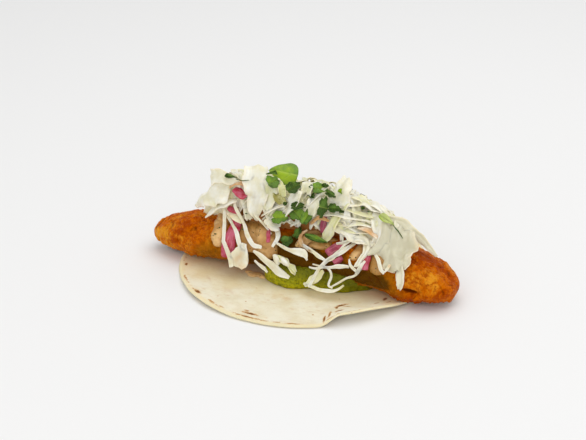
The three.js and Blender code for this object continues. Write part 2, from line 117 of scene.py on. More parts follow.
class Shade:
    """One material's nodes, and the few patterns that the finishes share."""

    def __init__(self, name):
        self.made = bpy.data.materials.new(name)
        self.made.use_nodes = True
        self.tree = self.made.node_tree
        self.tree.nodes.clear()
        self.place = self.add("TexCoord", out="Object")

    def add(self, kind, settings=None, sockets=None, out=0):
        """A node of a kind: its settings first, then the values or links of its sockets."""
        node = self.tree.nodes.new("ShaderNode" + kind)
        for name, value in (settings or {}).items():
            setattr(node, name, value)
        for key, value in (sockets or {}).items():
            if isinstance(value, Wire):
                self.tree.links.new(value.socket, node.inputs[key])
            else:
                node.inputs[key].default_value = value
        return Wire(self, node.outputs[out]) if node.outputs else node

    def mix(self, share, first, second):
        """The first colour, and as much of the second as share says."""
        return self.add("Mix", {"data_type": "RGBA"}, {0: share, 6: first, 7: second}, out=2)

    def step(self, value, low, high):
        """0 at low, 1 at high, smooth between. Low may be the larger."""
        ends = {3: 1.0, 4: 0.0} if low > high else {3: 0.0, 4: 1.0}
        inputs = {0: value, 1: min(low, high), 2: max(low, high), **ends}
        return self.add("MapRange", {"interpolation_type": "SMOOTHSTEP"}, inputs)

    def cloud(self, size, detail=3.0, rough=0.55, where=None, unit=MM):
        """Soft noise whose features measure about size."""
        inputs = {"Scale": 1 / (size * unit), "Detail": detail, "Roughness": rough}
        return self.add("TexNoise", None, {"Vector": where or self.place, **inputs})

    def cells(self, size):
        """How far each place is from the middle of its cell, in cells about size across."""
        inputs = {"Vector": self.place, "Scale": 1 / (size * MM)}
        return self.add("TexVoronoi", None, inputs, out="Distance")

    def stretched(self, x, y, z):
        """Places on the piece, packed closer along each axis by a factor."""
        return self.add("Mapping", None, {"Vector": self.place, "Scale": (x, y, z)})

    def own(self, name):
        """A value that the mesh carries at each point."""
        return self.add("Attribute", {"attribute_name": name}, out="Fac")

    def bump(self, height, depth):
        """Fine relief: height is its pattern, and depth how deep it goes."""
        return self.add("Bump", None, {"Height": height, "Distance": depth * MM})

    def surface(self, sockets, soft=None, spread=(1.0, 0.85, 0.6)):
        """Ends the material. soft is the share of light that scatters inside, and how far."""
        if soft:
            share, reach = soft
            scatter = {"Subsurface Weight": share, "Subsurface Scale": reach * MM}
            sockets = {**sockets, **scatter, "Subsurface Radius": spread}
        shader = self.add("BsdfPrincipled", None, sockets)
        self.add("OutputMaterial", None, {"Surface": shader})
        return self.made


def paint(red, green, blue):
    """A colour in display values, 0 to 255, as a shader's linear one."""

    def linear(value):
        value /= 255
        return value / 12.92 if value <= 0.04045 else ((value + 0.055) / 1.055) ** 2.4

    return (linear(red), linear(green), linear(blue), 1.0)


def shown(name, bm, material):
    """Puts a finished mesh into the scene, smooth shaded."""
    mesh = bpy.data.meshes.new(name)
    bm.to_mesh(mesh)
    bm.free()
    mesh.materials.append(material)
    mesh.polygons.foreach_set("use_smooth", [True] * len(mesh.polygons))
    made = bpy.data.objects.new(name, mesh)
    bpy.context.scene.collection.objects.link(made)
    return made


def softbox(name, size, watts, spot, colour):
    """A lamp behind a sheet of white cloth, turned to face the taco."""
    light = bpy.data.lights.new(name, "AREA")
    light.shape = "RECTANGLE"
    light.size, light.size_y = size
    light.energy = watts
    light.color = colour
    lamp = bpy.data.objects.new(name, light)
    lamp.location = spot
    lamp.rotation_euler = Vector(spot).to_track_quat("Z", "Y").to_euler()
    bpy.context.scene.collection.objects.link(lamp)


bm = bmesh.new()
bmesh.ops.create_grid(bm, x_segments=1, y_segments=1, size=FLOOR_HALF * MM)
floor = shown("floor", bm, Shade("white_sweep").surface({
    "Base Color": paint(FLOOR_WHITE, FLOOR_WHITE, FLOOR_WHITE),
    "Roughness": 0.8,
    "Specular IOR Level": 0.1,
}))

for box in SOFTBOXES:
    softbox(*box)

studio = bpy.data.worlds.new("studio")
studio.use_nodes = True
walls = studio.node_tree.nodes["Background"]
walls.inputs["Color"].default_value = WALL_WHITE
walls.inputs["Strength"].default_value = WALL_LIGHT
bpy.context.scene.world = studio
bpy.context.scene.view_settings.view_transform = "Standard"

# ---------------------------------------------------------------- tortilla
# A thin flour tortilla, rolled out and toasted on a hot plate: limp, matt and pale, its edge
# turned a little down and toasted along its crest. It curls off the table in three places.
TORTILLA_RADIUS = 76.0
TORTILLA_THICK = 1.8
TORTILLA_FLAT = 54.0  # its rim curls from here out
CREST_RADIUS = 73.2
RIM_FROM = 0.965  # the share of its radius where its edge begins to round off
PUFF_FROM = 0.95  # and the share up to which its top is puffed
OILED_FROM, OILED_TO = -52, -30  # how far in from the front the painted warm shade beside the fillet reaches
CURLS = [  # bearings in degrees where it starts, is full, fades and ends, and its height
    (-65, -55, -46, -10, 7.0),
    (34, 58, 76, 112, 4),
    (204, 222, 236, 262, 1.6),
]
TOAST = [  # toast marks: bearing, radius, length along the rim, width, strength, own turn
    (-160, 71.5, 4, 2.2, 1.0),
    (-144.5, 73, 2.6, 1.4, 0.7),
    (-129, 73.3, 5.5, 2.0, 1.0),
    (-118, 72.6, 7, 1.6, 0.7),
    (-111, 72.6, 5, 1.6, 0.5),
    (-98, 73.0, 15, 1.6, 0.85),
    (-97, 69, 11, 2.4, 1.0),
    (-100, 67, 4, 1.6, 0.7),
    (-129, 72.6, 7, 2.8, 1.0),
    (-49.5, 56, 9, 2.8, 1.0, 6),
    (-53, 58, 5, 1.8, 0.9, 60),
    (-47, 59, 5, 1.6, 0.8, -30),
    (-76, 73.4, 11, 1.4, 0.7),
    (-62, 70, 9, 1.6, 0.9, 75),
    (-59, 67, 9, 1.8, 0.8, 70),
    (-54, 65.5, 7, 2.6, 1.0, 20),
    (-60, 73, 6, 1.8, 0.5),
    (-84, 45, 12, 5, 0.2),
    (-122, 56, 14, 5, 0.22),
    (-142, 60, 12, 3, 0.2),
    (-25.5, 64, 6, 2.6, 1.0, 20),
    (-33, 66, 4, 1.8, 0.8),
    (-28, 69, 4, 1.6, 0.8),
    (40, 71, 12, 2.4, 0.8),
    (66, 72, 16, 2.2, 0.7),
    (92, 70, 10, 3, 0.9),
    (118, 72, 14, 2, 0.7),
    (152, 70, 9, 3, 0.6),
    (80, 50, 14, 7, 0.4),
    (120, 48, 12, 6, 0.4),
    (50, 52, 10, 6, 0.4),
]
TORTILLA_PALE = paint(238, 230, 206)
TORTILLA_CREAM = paint(228, 216, 184)
TORTILLA_EDGE = paint(235, 220, 178)
TORTILLA_OILED = paint(232, 204, 138)  # painted warm shade beside the fillet
TOAST_LIGHT = paint(205, 160, 104)
TOAST_DARK = paint(120, 70, 32)


def blend(a, b, t):
    """From a at 0 to b at 1, in a straight line."""
    return a + (b - a) * t


def clamp(value, low=0.0, high=1.0):
    return max(low, min(high, value))


def smooth(a, b, t):
    """0 at a, 1 at b, smooth between. The larger may come first."""
    t = clamp((t - a) / (b - a))
    return t * t * (3 - 2 * t)


def tortilla_under(x, y):
    """The height of the tortilla's underside."""
    bearing = math.degrees(math.atan2(y, x))
    bearing += 360 if bearing < -90 else 0
    lift = 0.0
    for start, full, fade, end, height in CURLS:
        lift += height * smooth(start, full, bearing) * (1 - smooth(fade, end, bearing))
    out = (math.hypot(x, y) - TORTILLA_FLAT) / (TORTILLA_RADIUS - TORTILLA_FLAT)
    return lift * max(out, 0) ** 1.5


bm = bmesh.new()
bmesh.ops.create_uvsphere(bm, u_segments=240, v_segments=150, radius=1)
for vert in bm.verts:
    bearing = math.atan2(vert.co.y, vert.co.x)
    level = 1.0
    if abs(vert.co.z) > 1e-6:
        level = math.asin(clamp(math.hypot(vert.co.x, vert.co.y))) / (math.pi / 2)
    uneven = 1 + 0.004 * math.sin(3 * bearing + 1) + 0.003 * math.sin(8 * bearing)
    uneven += 0.004 * noise.noise(Vector((math.cos(bearing), math.sin(bearing), 0)) * 7)
    radius = TORTILLA_RADIUS * level ** 0.93
    x = radius * uneven * math.cos(bearing)
    y = radius * uneven * math.sin(bearing)
    half = TORTILLA_THICK / 2 * math.sqrt(1 - smooth(RIM_FROM, 1.0, level) ** 2)
    puff = 0.0
    if vert.co.z > 0:
        puff = 0.25 * noise.noise(Vector((x, y, 0)) / 9)
        puff += 0.12 * noise.noise(Vector((x / 3.5, y / 2.6, 7)))
        puff *= 1 - smooth(PUFF_FROM, 1.0, level)
    side = 1 if vert.co.z > 0 else -1
    vert.co = Vector((x, y, tortilla_under(x, y) + TORTILLA_THICK / 2 + side * half + puff)) * MM

shade = Shade("toasted_tortilla")
mottle = shade.cloud(13, detail=5, rough=0.62)
grain = shade.cloud(2.6, detail=4, rough=0.7, where=shade.stretched(0.45, 1.2, 1))
crumb = shade.cloud(0.6, detail=2)
ragged = shade.cloud(2.4, detail=5, rough=0.75)
flat_place = shade.stretched(1, 1, 0)
radius = shade.add("VectorMath", {"operation": "LENGTH"}, {0: flat_place}, out="Value") / MM
colour = shade.mix(shade.step(mottle, 0.36, 0.66), TORTILLA_PALE, TORTILLA_CREAM)
colour = shade.mix(shade.step(grain, 0.54, 0.74) * 0.4, colour, TOAST_LIGHT)
place_y = shade.add("SeparateXYZ", None, {"Vector": shade.place}, out="Y") / MM
# Painted warm shade on the tortilla beside the fillet.
near_fish = shade.step(place_y + (mottle - 0.5) * 20, OILED_FROM, OILED_TO)
colour = shade.mix(near_fish * 0.45, colour, TORTILLA_OILED)
past_crest = radius + (ragged - 0.5) * 3
colour = shade.mix(shade.step(past_crest, CREST_RADIUS - 0.4, CREST_RADIUS + 1.2) * 0.75, colour,
                   TORTILLA_EDGE)
crest = 1 - (past_crest - CREST_RADIUS).math("ABSOLUTE") / 0.9
dashes = shade.step(shade.cloud(7, detail=3, rough=0.7), 0.46, 0.6)
toast = crest.math("MAXIMUM", 0.0) * dashes * 0.7
for bearing, out, length, width, strength, *turned in TOAST:
    angle = math.radians(bearing)
    local = shade.add("Mapping", {"vector_type": "TEXTURE"}, {
        "Vector": flat_place,
        "Location": (out * math.cos(angle) * MM, out * math.sin(angle) * MM, 0),
        "Rotation": (0, 0, angle + math.radians(90 + sum(turned))),
        "Scale": (length / 2 * MM, width / 2 * MM, 1),
    })
    away = shade.add("VectorMath", {"operation": "LENGTH"}, {0: local}, out="Value")
    mark = shade.step(away + ragged * 2.2, 2.5, 1.2) * strength
    toast = toast.math("MAXIMUM", mark)
specks = shade.step(shade.cells(6.5), 0.12, 0.04) * shade.step(shade.cloud(9), 0.5, 0.6)
toast = toast.math("MAXIMUM", specks * 0.6)
colour = shade.mix(shade.step(toast, 0.0, 0.6), colour, TOAST_LIGHT)
colour = shade.mix(shade.step(toast, 0.45, 1.0), colour, TOAST_DARK)
relief = grain * 0.6 + crumb * 0.3 + mottle - toast * 0.6
tortilla = shown("flour_tortilla", bm, shade.surface({
    "Base Color": colour,
    "Roughness": 0.85,
    "Specular IOR Level": 0.2,
    "Normal": shade.bump(relief, 0.35),
}, soft=(0.6, 2.6)))
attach(tortilla, "root")
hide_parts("tortilla")

# ---------------------------------------------------------------- battered fillet
# One long white fish fillet in beer batter, deep fried. It is full and round at the left and
# runs out flat at the right, where the batter has set into a thin fin. The crust is cragged
# and blistered, golden where it is smooth and redder brown where it stands up. Its low places,
# deepest creases, fold and underside are darkened with painted shade, and its high tips are
# lightened with painted highlights.
FISH_HALF = 97.0
FISH_Y = -5.5
FISH_Z = 15.5
HALF_WIDTH = (21.0, 22.6)  # left end, right end, as all the pairs
HALF_HEIGHT = (14.0, 14.3)
WIDTH_TAPER = (3.3, 6.8)
HEIGHT_TAPER = (5.6, 4.6)
SWEEP = (2.0, -9.0)
DROOP = (4.6, 5.5)
STRAIGHT = (30, 48)
DROOP_POWER = (1.6, 1.2)
FIN = 2.6  # how far the fin stands out,
FIN_AROUND, FIN_THICK = -36, 17  # and where and how thick it is, in degrees
RAGGED = 1.5  # how far the fin's edge goes in and out
CRAG_SIZE, CREASE_SIZE, ROUGH_SIZE = 10, 9, 15
BLISTER_SIZE, BEAD_SIZE, GRAIN_SIZE = 3.6, 1.8, 1.5
SALSA_X, SALSA_Y = 15.5, -12.0
SALSA_HALF = 33.5
SALSA_FILM = 1.2
GAP = 0.3  # between the fillet and what it lies on
BATTER_GOLD = paint(236, 156, 36)
BATTER_AMBER = paint(210, 108, 2)
BATTER_BROWN = paint(166, 64, 0)
# painted highlight on the crust's high tips
BATTER_CRISP = paint(226, 136, 42)
# painted shade in the crust's deepest creases and in the fold above the fin
BATTER_DARK = paint(84, 26, 2)
BATTER_UNDER = paint(132, 92, 48)  # painted shade on the underside, dull so that less orange bounces onto the floor
BATTER_OILY = paint(164, 98, 8)
BATTER_SOAKED = paint(74, 52, 10)  # where the salsa and the crema have run into it, and painted shade
# Patches where the crust is paler or darker: (x, around), how wide each way, and how much.
PATCHES = [
    ((-88, 12), 8, 30, 1.0),
    ((-84, -30), 10, 30, 0.5),
    ((-80, 77), 5, 10, 0.7),
    ((-54, -6), 12, 20, 0.55),
    ((-50, 30), 8, 20, 0.1),
    ((-70, 47), 5, 9, -0.7),
    ((-74, 24), 6, 9, -0.8),
    ((-76, 2), 6, 9, -0.8),
    ((-66, 65), 7, 10, -0.4),
    ((-58, 84), 10, 10, 0.1),
    ((87, 22), 5, 34, 0.35),
    ((80, 40), 9, 20, 0.1),
    ((60, 6), 9, 18, 0.4),
    ((74, 100), 16, 26, -1.2),
    ((86, 100), 9, 22, -1.1),
    ((72, 58), 7, 14, -0.5),
    ((91, 4), 5, 16, -0.8),
    ((66, -24), 12, 12, -0.9),
    ((74, -16), 8, 12, -0.7),
    ((84, -26), 10, 8, -0.5),
    ((95, 60), 4, 30, -0.7),
    ((0, 50), 30, 30, -0.9),
    ((10, 10), 26, 20, -0.7),
    ((-60, 150), 14, 40, 0.5),
    ((60, 150), 14, 40, 0.6),
    ((0, 160), 20, 20, 0.3),
]
# Where the crust is smooth, oily and olive, and over 1 where it is soaked and darkened with
# painted shade under the heap and low on its front: the same, how much.
OILY = [
    ((-55, -14), 12, 26, 0.85),
    ((-46, 16), 7, 26, 0.6),
    ((56, 8), 10, 24, 0.8),
    ((66, -10), 9, 16, 0.4),
    ((0, 34), 14, 26, 1.3),
    ((20, 12), 22, 20, 1.3),
    ((-22, 4), 14, 26, 1.2),
    ((40, -6), 12, 16, 1.15),
    ((53, -7), 7, 12, 0.7),
    ((-6, -14), 26, 18, 1.3),
    ((22, -20), 20, 14, 1.1),
]
CREVICE = ((73, -2.5), 5.4, 4.6)  # the fold above the fin, drawn in and painted in shade
# Where the form swells or is drawn in: the same, and how far in mm.
SWELLS = [
    (*CREVICE, -3.2),
    ((72, -15), 8, 7, 1.3),
    ((83, -52), 11, 30, -4.2),
    ((94.5, -38), 2.6, 18, 3.0),
    ((95, 14), 3, 18, 0.8),
    ((92, 80), 6, 34, -1.7),
    ((20, -18), 26, 20, -2.0),
    ((-80, -52), 10, 34, -1.4),
    ((-36, -50), 25, 24, -4.0),
    ((-87, 68), 9, 32, -1.8),
    ((-66, 100), 9, 30, 0.6),
]


def section(x):
    """The fillet's cross-section at x: its middle, half-width and half-height."""
    end = 0 if x < 0 else 1
    reach = min(abs(x) / FISH_HALF, 1)
    swell = smooth(-30, 40, x)
    bent = smooth(-45, -FISH_HALF, x) if x < 0 else smooth(28, FISH_HALF, x)
    hung = clamp((abs(x) - STRAIGHT[end]) / (FISH_HALF - STRAIGHT[end])) ** DROOP_POWER[end]
    return (
        FISH_Y + SWEEP[end] * bent,
        FISH_Z - DROOP[end] * hung,
        blend(*HALF_WIDTH, swell) * math.sqrt(1 - reach ** WIDTH_TAPER[end]),
        blend(*HALF_HEIGHT, swell) * math.sqrt(1 - reach ** HEIGHT_TAPER[end]),
    )


def fish_floor(x):
    """How low the fillet's underside may come at x."""
    over_tortilla = 1 - smooth(TORTILLA_RADIUS + 2, TORTILLA_RADIUS + 10, abs(x))
    over_salsa = 1 - smooth(SALSA_HALF, SALSA_HALF + 5, abs(x - SALSA_X))
    return (TORTILLA_THICK + GAP) * over_tortilla + (SALSA_FILM + GAP) * over_salsa


def fish_at(x, around, lift):
    """A point on the fillet: around is 0 at the front, 90 on top, 180 at the back."""
    y, z, a, b = section(x)
    angle = math.radians(around)
    if a * b < 1e-6:
        return Vector((x, y, z))
    round_part = a * b / math.hypot(b * math.cos(angle), a * math.sin(angle))
    fin_length = smooth(58, 66, x) * smooth(FISH_HALF, 89, x)
    fin_rise = math.exp(-(((around - FIN_AROUND) / FIN_THICK) ** 2))
    out = round_part + lift + FIN * fin_length * fin_rise
    return Vector((x, y - out * math.cos(angle), z + out * math.sin(angle)))


def bell(x, around, middle, wide, tall):
    """1 at a place on the fillet, fading out round it."""
    turn = (around - middle[1] + 180) % 360 - 180
    return math.exp(-(((x - middle[0]) / wide) ** 2) - (turn / tall) ** 2)


def crust(point):
    """The batter's broad crags, and the blisters, beads and grain on them, at a point."""
    broad = noise.fractal(point / CRAG_SIZE, 0.9, 2.1, 3)
    rough = smooth(-0.3, 0.3, noise.noise(point / ROUGH_SIZE + Vector((3, 9, 1))))
    blister = max(1 - noise.voronoi(point / BLISTER_SIZE + Vector((0, 5, 0)))[0][0] * 1.6, 0)
    bead = max(1 - noise.voronoi(point / BEAD_SIZE)[0][0] * 1.8, 0)
    grain = noise.fractal(point / GRAIN_SIZE, 0.8, 2.2, 2)
    crease = 1 - smooth(0.02, 0.14, abs(noise.noise(point / CREASE_SIZE + Vector((7, 0, 4)))))
    fine = (1.5 * blister + 0.9 * bead) * (0.25 + 0.75 * rough) + 0.35 * grain
    return 1.2 * broad - 0.7 * crease, fine


bm = bmesh.new()
layer_names = ("crag", "fine", "tone", "oily", "fold", "under")
crust_layers = [bm.verts.layers.float.new(name) for name in layer_names]
bmesh.ops.create_uvsphere(bm, u_segments=200, v_segments=430, radius=1)
for vert in bm.verts:
    x = FISH_HALF * vert.co.z
    around = math.degrees(math.atan2(vert.co.y, vert.co.x))
    calm = clamp(1 - vert.co.z ** 2) ** 0.25
    crag, fine = crust(fish_at(x, around, 0))
    shape = sum(much * bell(x, around, *spot) for *spot, much in SWELLS)
    rag = noise.noise(Vector((x / 2.4, 0, 5))) * math.exp(-(((around + 32) / 13) ** 2))
    shape += RAGGED * rag * smooth(56, 64, x)
    oily = sum(much * bell(x, around, *spot) for *spot, much in OILY)
    rough = 1 - 0.5 * clamp(oily)
    point = fish_at(x, around, (crag + fine * rough) * calm + shape)
    point.z = max(point.z, fish_floor(x))
    tone = sum(much * bell(x, around, *spot) for *spot, much in PATCHES)
    fold = bell(x, around, *CREVICE)
    under = smooth(-38, -70, around) * smooth(-150, -120, around)
    for layer, value in zip(crust_layers, (crag, fine, tone, oily, fold, under)):
        vert[layer] = value
    vert.co = point * MM

shade = Shade("fried_batter")
crag = shade.own("crag")
fine = shade.own("fine")
tone = shade.own("tone")
patch = shade.cloud(11, detail=4, rough=0.6)
streak = shade.cloud(3.6, detail=4, rough=0.7)
grit = shade.cloud(1.3, detail=3, rough=0.7)
runs = shade.cloud(2.2, detail=4, rough=0.65, where=shade.stretched(1, 0.5, 0.3))
gold = shade.step(patch + tone * 0.24 + (streak + runs * 1.6 - 1.3) * 0.5, 0.46, 0.72)
brown = shade.step(streak + (runs - 0.5) * 0.5 + crag * 0.05 - tone * 0.15, 0.47, 0.64)
# Painted shade in the crust's low places, less of it in the paler patches.
valley = shade.step(fine + (grit - 0.5) * 1.2, 0.35, -0.15) * (0.85 - shade.step(tone, 0, 1) * 0.6)
# Painted highlight on the crust's high tips.
tips = shade.step(fine + (grit - 0.5) * 1.4, 0.75, 1.5)
oily = shade.own("oily") + (streak - 0.5) * 0.7
# Painted shade in the crust's deepest creases.
pit = shade.step(crag + (grit - 0.5), -0.7, -1.6)
colour = shade.mix(gold, BATTER_AMBER, BATTER_GOLD)
colour = shade.mix(brown * 0.85, colour, BATTER_BROWN)
colour = shade.mix(valley * 0.7, colour, BATTER_BROWN)
colour = shade.mix(tips * 0.55, colour, BATTER_CRISP)
colour = shade.mix(shade.step(oily, 0.15, 0.8) * 0.8, colour, BATTER_OILY)
# Salsa soak and painted shade under the heap and low on the front.
colour = shade.mix(shade.step(oily, 0.75, 1.2) * 0.85, colour, BATTER_SOAKED)
colour = shade.mix(pit * 0.75, colour, BATTER_DARK)
# Painted shade on the fillet's underside.
colour = shade.mix(shade.own("under") * 0.9, colour, BATTER_UNDER)
# Painted shade in the fold above the fin.
colour = shade.mix(shade.step(shade.own("fold"), 0.35, 0.7) * 0.9, colour, BATTER_DARK)
fillet = shown("fried_fillet", bm, shade.surface({
    "Base Color": colour,
    "Roughness": shade.step(streak, 0.35, 0.7) * 0.25 + 0.36,
    "Specular IOR Level": 0.09,
    "Specular Tint": paint(255, 170, 80),
    "Normal": shade.bump(grit + streak * 0.8 + runs * 0.9, 1.1),
}, soft=(0.08, 1.2)))
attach(fillet, "root")
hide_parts("battered_fish")

# ---------------------------------------------------------------- crema
# Thick chipotle crema squeezed over the fillet in bands: peach coloured, glossy, flecked with
# herbs. Each band sits on the crust and sinks a little into it at its edges. A few drops of it
# have fallen on the tortilla.
CREMA_PROUD = 1.6
CREMA_WALL = 0.9
CREMA_PEACH = paint(230, 188, 128)
CREMA_DEEP = paint(200, 152, 90)
CREMA_THIN = paint(176, 130, 66)  # where the crust shows through it
HERB_FLECK = paint(58, 60, 20)
# Bands: (x, around) where it starts and ends, width, how far it wanders along x, and how
# thin it is, from 0 to 1.
CREMA_BANDS = [
    ((-50, 88), (-45.5, 7), 8.5, 1.0, 0.15),
    ((-30, 88), (-24.5, 7), 15, 1.5, 0.7),
    ((-21.5, 84), (-16, 1), 14, 1.5, 0.5),
    ((11, 88), (4, 27), 8, 1.0, 0.1),
    ((17, 56), (15, 29), 14, 0.6, 0.6),
    ((43, 78), (38, 21), 7, 1.0, 0.2),
    ((53, 62), (51.5, 9), 8, 0.6, 1.0),
    ((-40, 108), (-37, 170), 8, 1.5, 0),
    ((-8, 108), (-3, 173), 9, 1.5, 0.3),
    ((24, 108), (29, 168), 7, 1.5, 0),
    ((56, 110), (50, 171), 8, 1.5, 0.4),
]
DROPS = [  # x, y, half-length, half-width, and its turn in degrees
    (-23.6, -23.2, 4.4, 2.4, 15),
    (-18.6, -24.4, 2.4, 1.4, -30),
    (-28, -21.6, 2, 1.2, 0),
]
DROP_HEIGHT = 0.7


def grid(bm, along, across, place):
    """Adds a grid and moves each point to place(u, v), both from 0 to 1. Returns each point
    with its u and v."""
    made = bmesh.ops.create_grid(bm, x_segments=along, y_segments=across, size=0.5)["verts"]
    laid = [(vert, vert.co.x + 0.5, vert.co.y + 0.5) for vert in made]
    for vert, u, v in laid:
        vert.co = place(u, v) * MM
    return laid


def finished(piece, thickness, rounds=0):
    """Gives a sheet its thickness and rounds it off."""
    wall = piece.modifiers.new("thickness", "SOLIDIFY")
    wall.thickness = thickness * MM
    wall.offset = 0
    if rounds:
        rounding = piece.modifiers.new("rounding", "SUBSURF")
        rounding.levels = rounding.render_levels = rounds
    return piece


bm = bmesh.new()
thin_layer = bm.verts.layers.float.new("thin")
for start, end, width, wander, thin in CREMA_BANDS:
    side = 1 if end[1] < start[1] else -1

    def band(u, v):
        across = 2 * v - 1
        x = blend(start[0], end[0], u) + wander * math.sin(5 * u + start[0])
        around = blend(start[1], end[1], u)
        tip = math.sqrt(1 - clamp((u - 0.86) / 0.141) ** 2)
        edge = noise.noise(Vector((u * 4, across * 0.7, start[0])))
        half = width / 2 * (0.25 + 0.75 * tip) * (1 + 0.45 * edge)
        lift = (CREMA_PROUD + 1) * math.sqrt(1 - 0.96 * across ** 2) * (0.45 + 0.55 * tip) - 0.9
        lift += 0.35 * noise.noise(Vector((x, around / 4, 2)) / 4)
        x += side * across * half
        return fish_at(x, around, lift + 0.6 * sum(crust(fish_at(x, around, 0))))

    for vert, u, v in grid(bm, 56, 16, band):
        vert[thin_layer] = thin + 0.3 * (2 * v - 1) ** 2
for x, y, length, width, turn in DROPS:
    spread = Matrix.Rotation(math.radians(turn), 3, "Z")
    spread = spread @ Matrix.Diagonal((length, width, DROP_HEIGHT))
    drop = bmesh.ops.create_icosphere(bm, subdivisions=3, radius=1)["verts"]
    for vert in drop:
        ripple = 1 + 0.3 * noise.noise(vert.co * 1.6 + Vector((x, y, 0)))
        vert.co = (spread @ vert.co * ripple + Vector((x, y, TORTILLA_THICK))) * MM

shade = Shade("chipotle_crema")
swirl = shade.cloud(6, detail=3)
fleck = shade.step(shade.cells(2.2), 0.24, 0.14) * shade.step(shade.cloud(4), 0.46, 0.54)
colour = shade.mix(shade.step(swirl, 0.38, 0.66), CREMA_PEACH, CREMA_DEEP)
thinned = shade.step(shade.own("thin") + (swirl - 0.5) * 0.8, 0.1, 0.9)
colour = shade.mix(thinned, colour, CREMA_THIN)
colour = shade.mix(fleck, colour, HERB_FLECK)
crema = finished(shown("chipotle_crema", bm, shade.surface({
    "Base Color": colour,
    "Roughness": 0.34,
    "Specular IOR Level": 0.35,
    "Normal": shade.bump(swirl + shade.cloud(1.2) * 0.4, 0.4),
}, soft=(0.3, 1.5))), CREMA_WALL)
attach(crema, "root")

# ---------------------------------------------------------------- green salsa
# Coarse tomatillo and herb salsa under the fillet, pressed out past its front and its back:
# wet, grainy, yellow green at its thin edge and dark olive with painted shade higher up and to
# the right, under the fillet.
SALSA_FRONT, SALSA_BACK = 17.4, 29.0
SALSA_HEIGHT = 14.5
SALSA_SQUARE = 2.5  # 2 would make its outline an ellipse
SALSA_SKEW = 0.11  # how much farther forward it is pressed out at the left
SALSA_RUN = 4.0  # and how far it has run there
SALSA_BRIGHT = paint(188, 180, 8)
SALSA_OLIVE = paint(146, 148, 8)
SALSA_DEEP = paint(92, 94, 4)  # painted shade, higher up and to the right under the fillet
SALSA_DARK = paint(76, 80, 4)
SALSA_PULP = paint(196, 192, 78)

bm = bmesh.new()
bmesh.ops.create_uvsphere(bm, u_segments=220, v_segments=120, radius=1)
for vert in bm.verts:
    ball = vert.co.copy()
    bearing = math.atan2(ball.y, ball.x)
    edge = 1 + 0.05 * math.sin(5 * bearing + 1) + 0.03 * math.sin(9 * bearing)
    edge += 0.03 * noise.noise(Vector((math.cos(bearing), math.sin(bearing), 0)) * 5)
    corner = abs(math.cos(bearing)) ** SALSA_SQUARE + abs(math.sin(bearing)) ** SALSA_SQUARE
    edge *= corner ** (-1 / SALSA_SQUARE)
    x = SALSA_X + SALSA_HALF * ball.x * edge
    y = SALSA_Y + (SALSA_FRONT if ball.y < 0 else SALSA_BACK) * ball.y * edge
    y += SALSA_SKEW * (x - SALSA_X) * max(-ball.y, 0)
    y -= SALSA_RUN * math.exp(-(((x + 4) / 15) ** 2)) * max(-ball.y, 0)
    rise = max(ball.z, 0) ** 0.55 * SALSA_HEIGHT
    spot = Vector((x, y, rise))
    pulp = 1.1 * noise.fractal(spot / 3.5, 0.9, 2.1, 4)
    pulp += 1.0 * max(1 - noise.voronoi(spot / 2.2)[0][0] * 1.6, 0)
    y += (pulp - 0.5) * (0.8 if ball.y < 0 else -0.8) * clamp(rise / 3)
    z = TORTILLA_THICK + GAP + max(rise + pulp * clamp(rise / 2), 0)
    vert.co = Vector((x, y, z)) * MM

shade = Shade("green_salsa")
pulp = shade.cloud(3.2, detail=5, rough=0.7)
seeds = shade.step(shade.cells(2.1), 0.22, 0.1)
place = {axis: shade.add("SeparateXYZ", None, {"Vector": shade.place}, out=axis) / MM
         for axis in "XZ"}
# Painted shade, darker higher up and to the right, under the fillet.
thick = shade.step(place["Z"] * 2.6 + place["X"] * 0.5 + (pulp - 0.5) * 16, 12, 36)
colour = shade.mix(shade.step(pulp, 0.36, 0.6), SALSA_OLIVE, SALSA_BRIGHT)
colour = shade.mix(thick * 0.8, colour, SALSA_DEEP)
colour = shade.mix(shade.step(shade.cloud(1.5, detail=4), 0.5, 0.66) * 0.6, colour, SALSA_DARK)
colour = shade.mix(seeds * 0.3, colour, SALSA_PULP)
salsa = shown("green_salsa_spread", bm, shade.surface({
    "Base Color": colour,
    "Roughness": 0.26,
    "Specular IOR Level": 0.4,
    "Specular Tint": paint(235, 240, 160),
    "Normal": shade.bump(pulp + seeds * 0.4, 1.0),
}, soft=(0.2, 1.5)))
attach(salsa, "root")
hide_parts("green_salsa")

# ---------------------------------------------------------------- cabbage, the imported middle
# White cabbage, shredded by hand. The middle of the heap is packed too close to see into, so
# it is one lumpy mass under the loose shreds, yellower and greener than they are.
HEAP_LEFT, CROWN_FROM, CROWN_TO, HEAP_RIGHT = -76, -42, 14, 92
HEAP_HEIGHT = 25.5
CORE_DEPTH = 0.8  # how far it lies under the skin that the shreds follow
CORE_LOW, CORE_FRONT, CORE_BACK = 40, 66, 168  # around: where it dives in, shows, and ends
CORE_RIGHT = 62
SKIN_TURN = 25  # degrees past the fillet's side in which the skin falls to the tortilla
RUN_OUT = 0.5  # and how far a degree more takes it outward
CABBAGE_WHITE = paint(248, 246, 233)
CABBAGE_CREAM = paint(238, 231, 202)
CABBAGE_GREEN = paint(220, 220, 152)
CABBAGE_STAIN = paint(216, 168, 112)
CABBAGE_CLEAR = paint(212, 207, 181)  # painted shade that shows through where a leaf is thin, and in each shred's middle
CABBAGE_OUTER = paint(158, 150, 74)  # curled ends of the outer leaves, darkened with painted shade
CABBAGE_RIM = paint(250, 236, 208)  # painted highlight, warm, along the cut edges
CABBAGE_HEART = paint(240, 234, 194)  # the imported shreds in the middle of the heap
CABBAGE_SOAKED = paint(176, 118, 58)  # where the crema has run into it


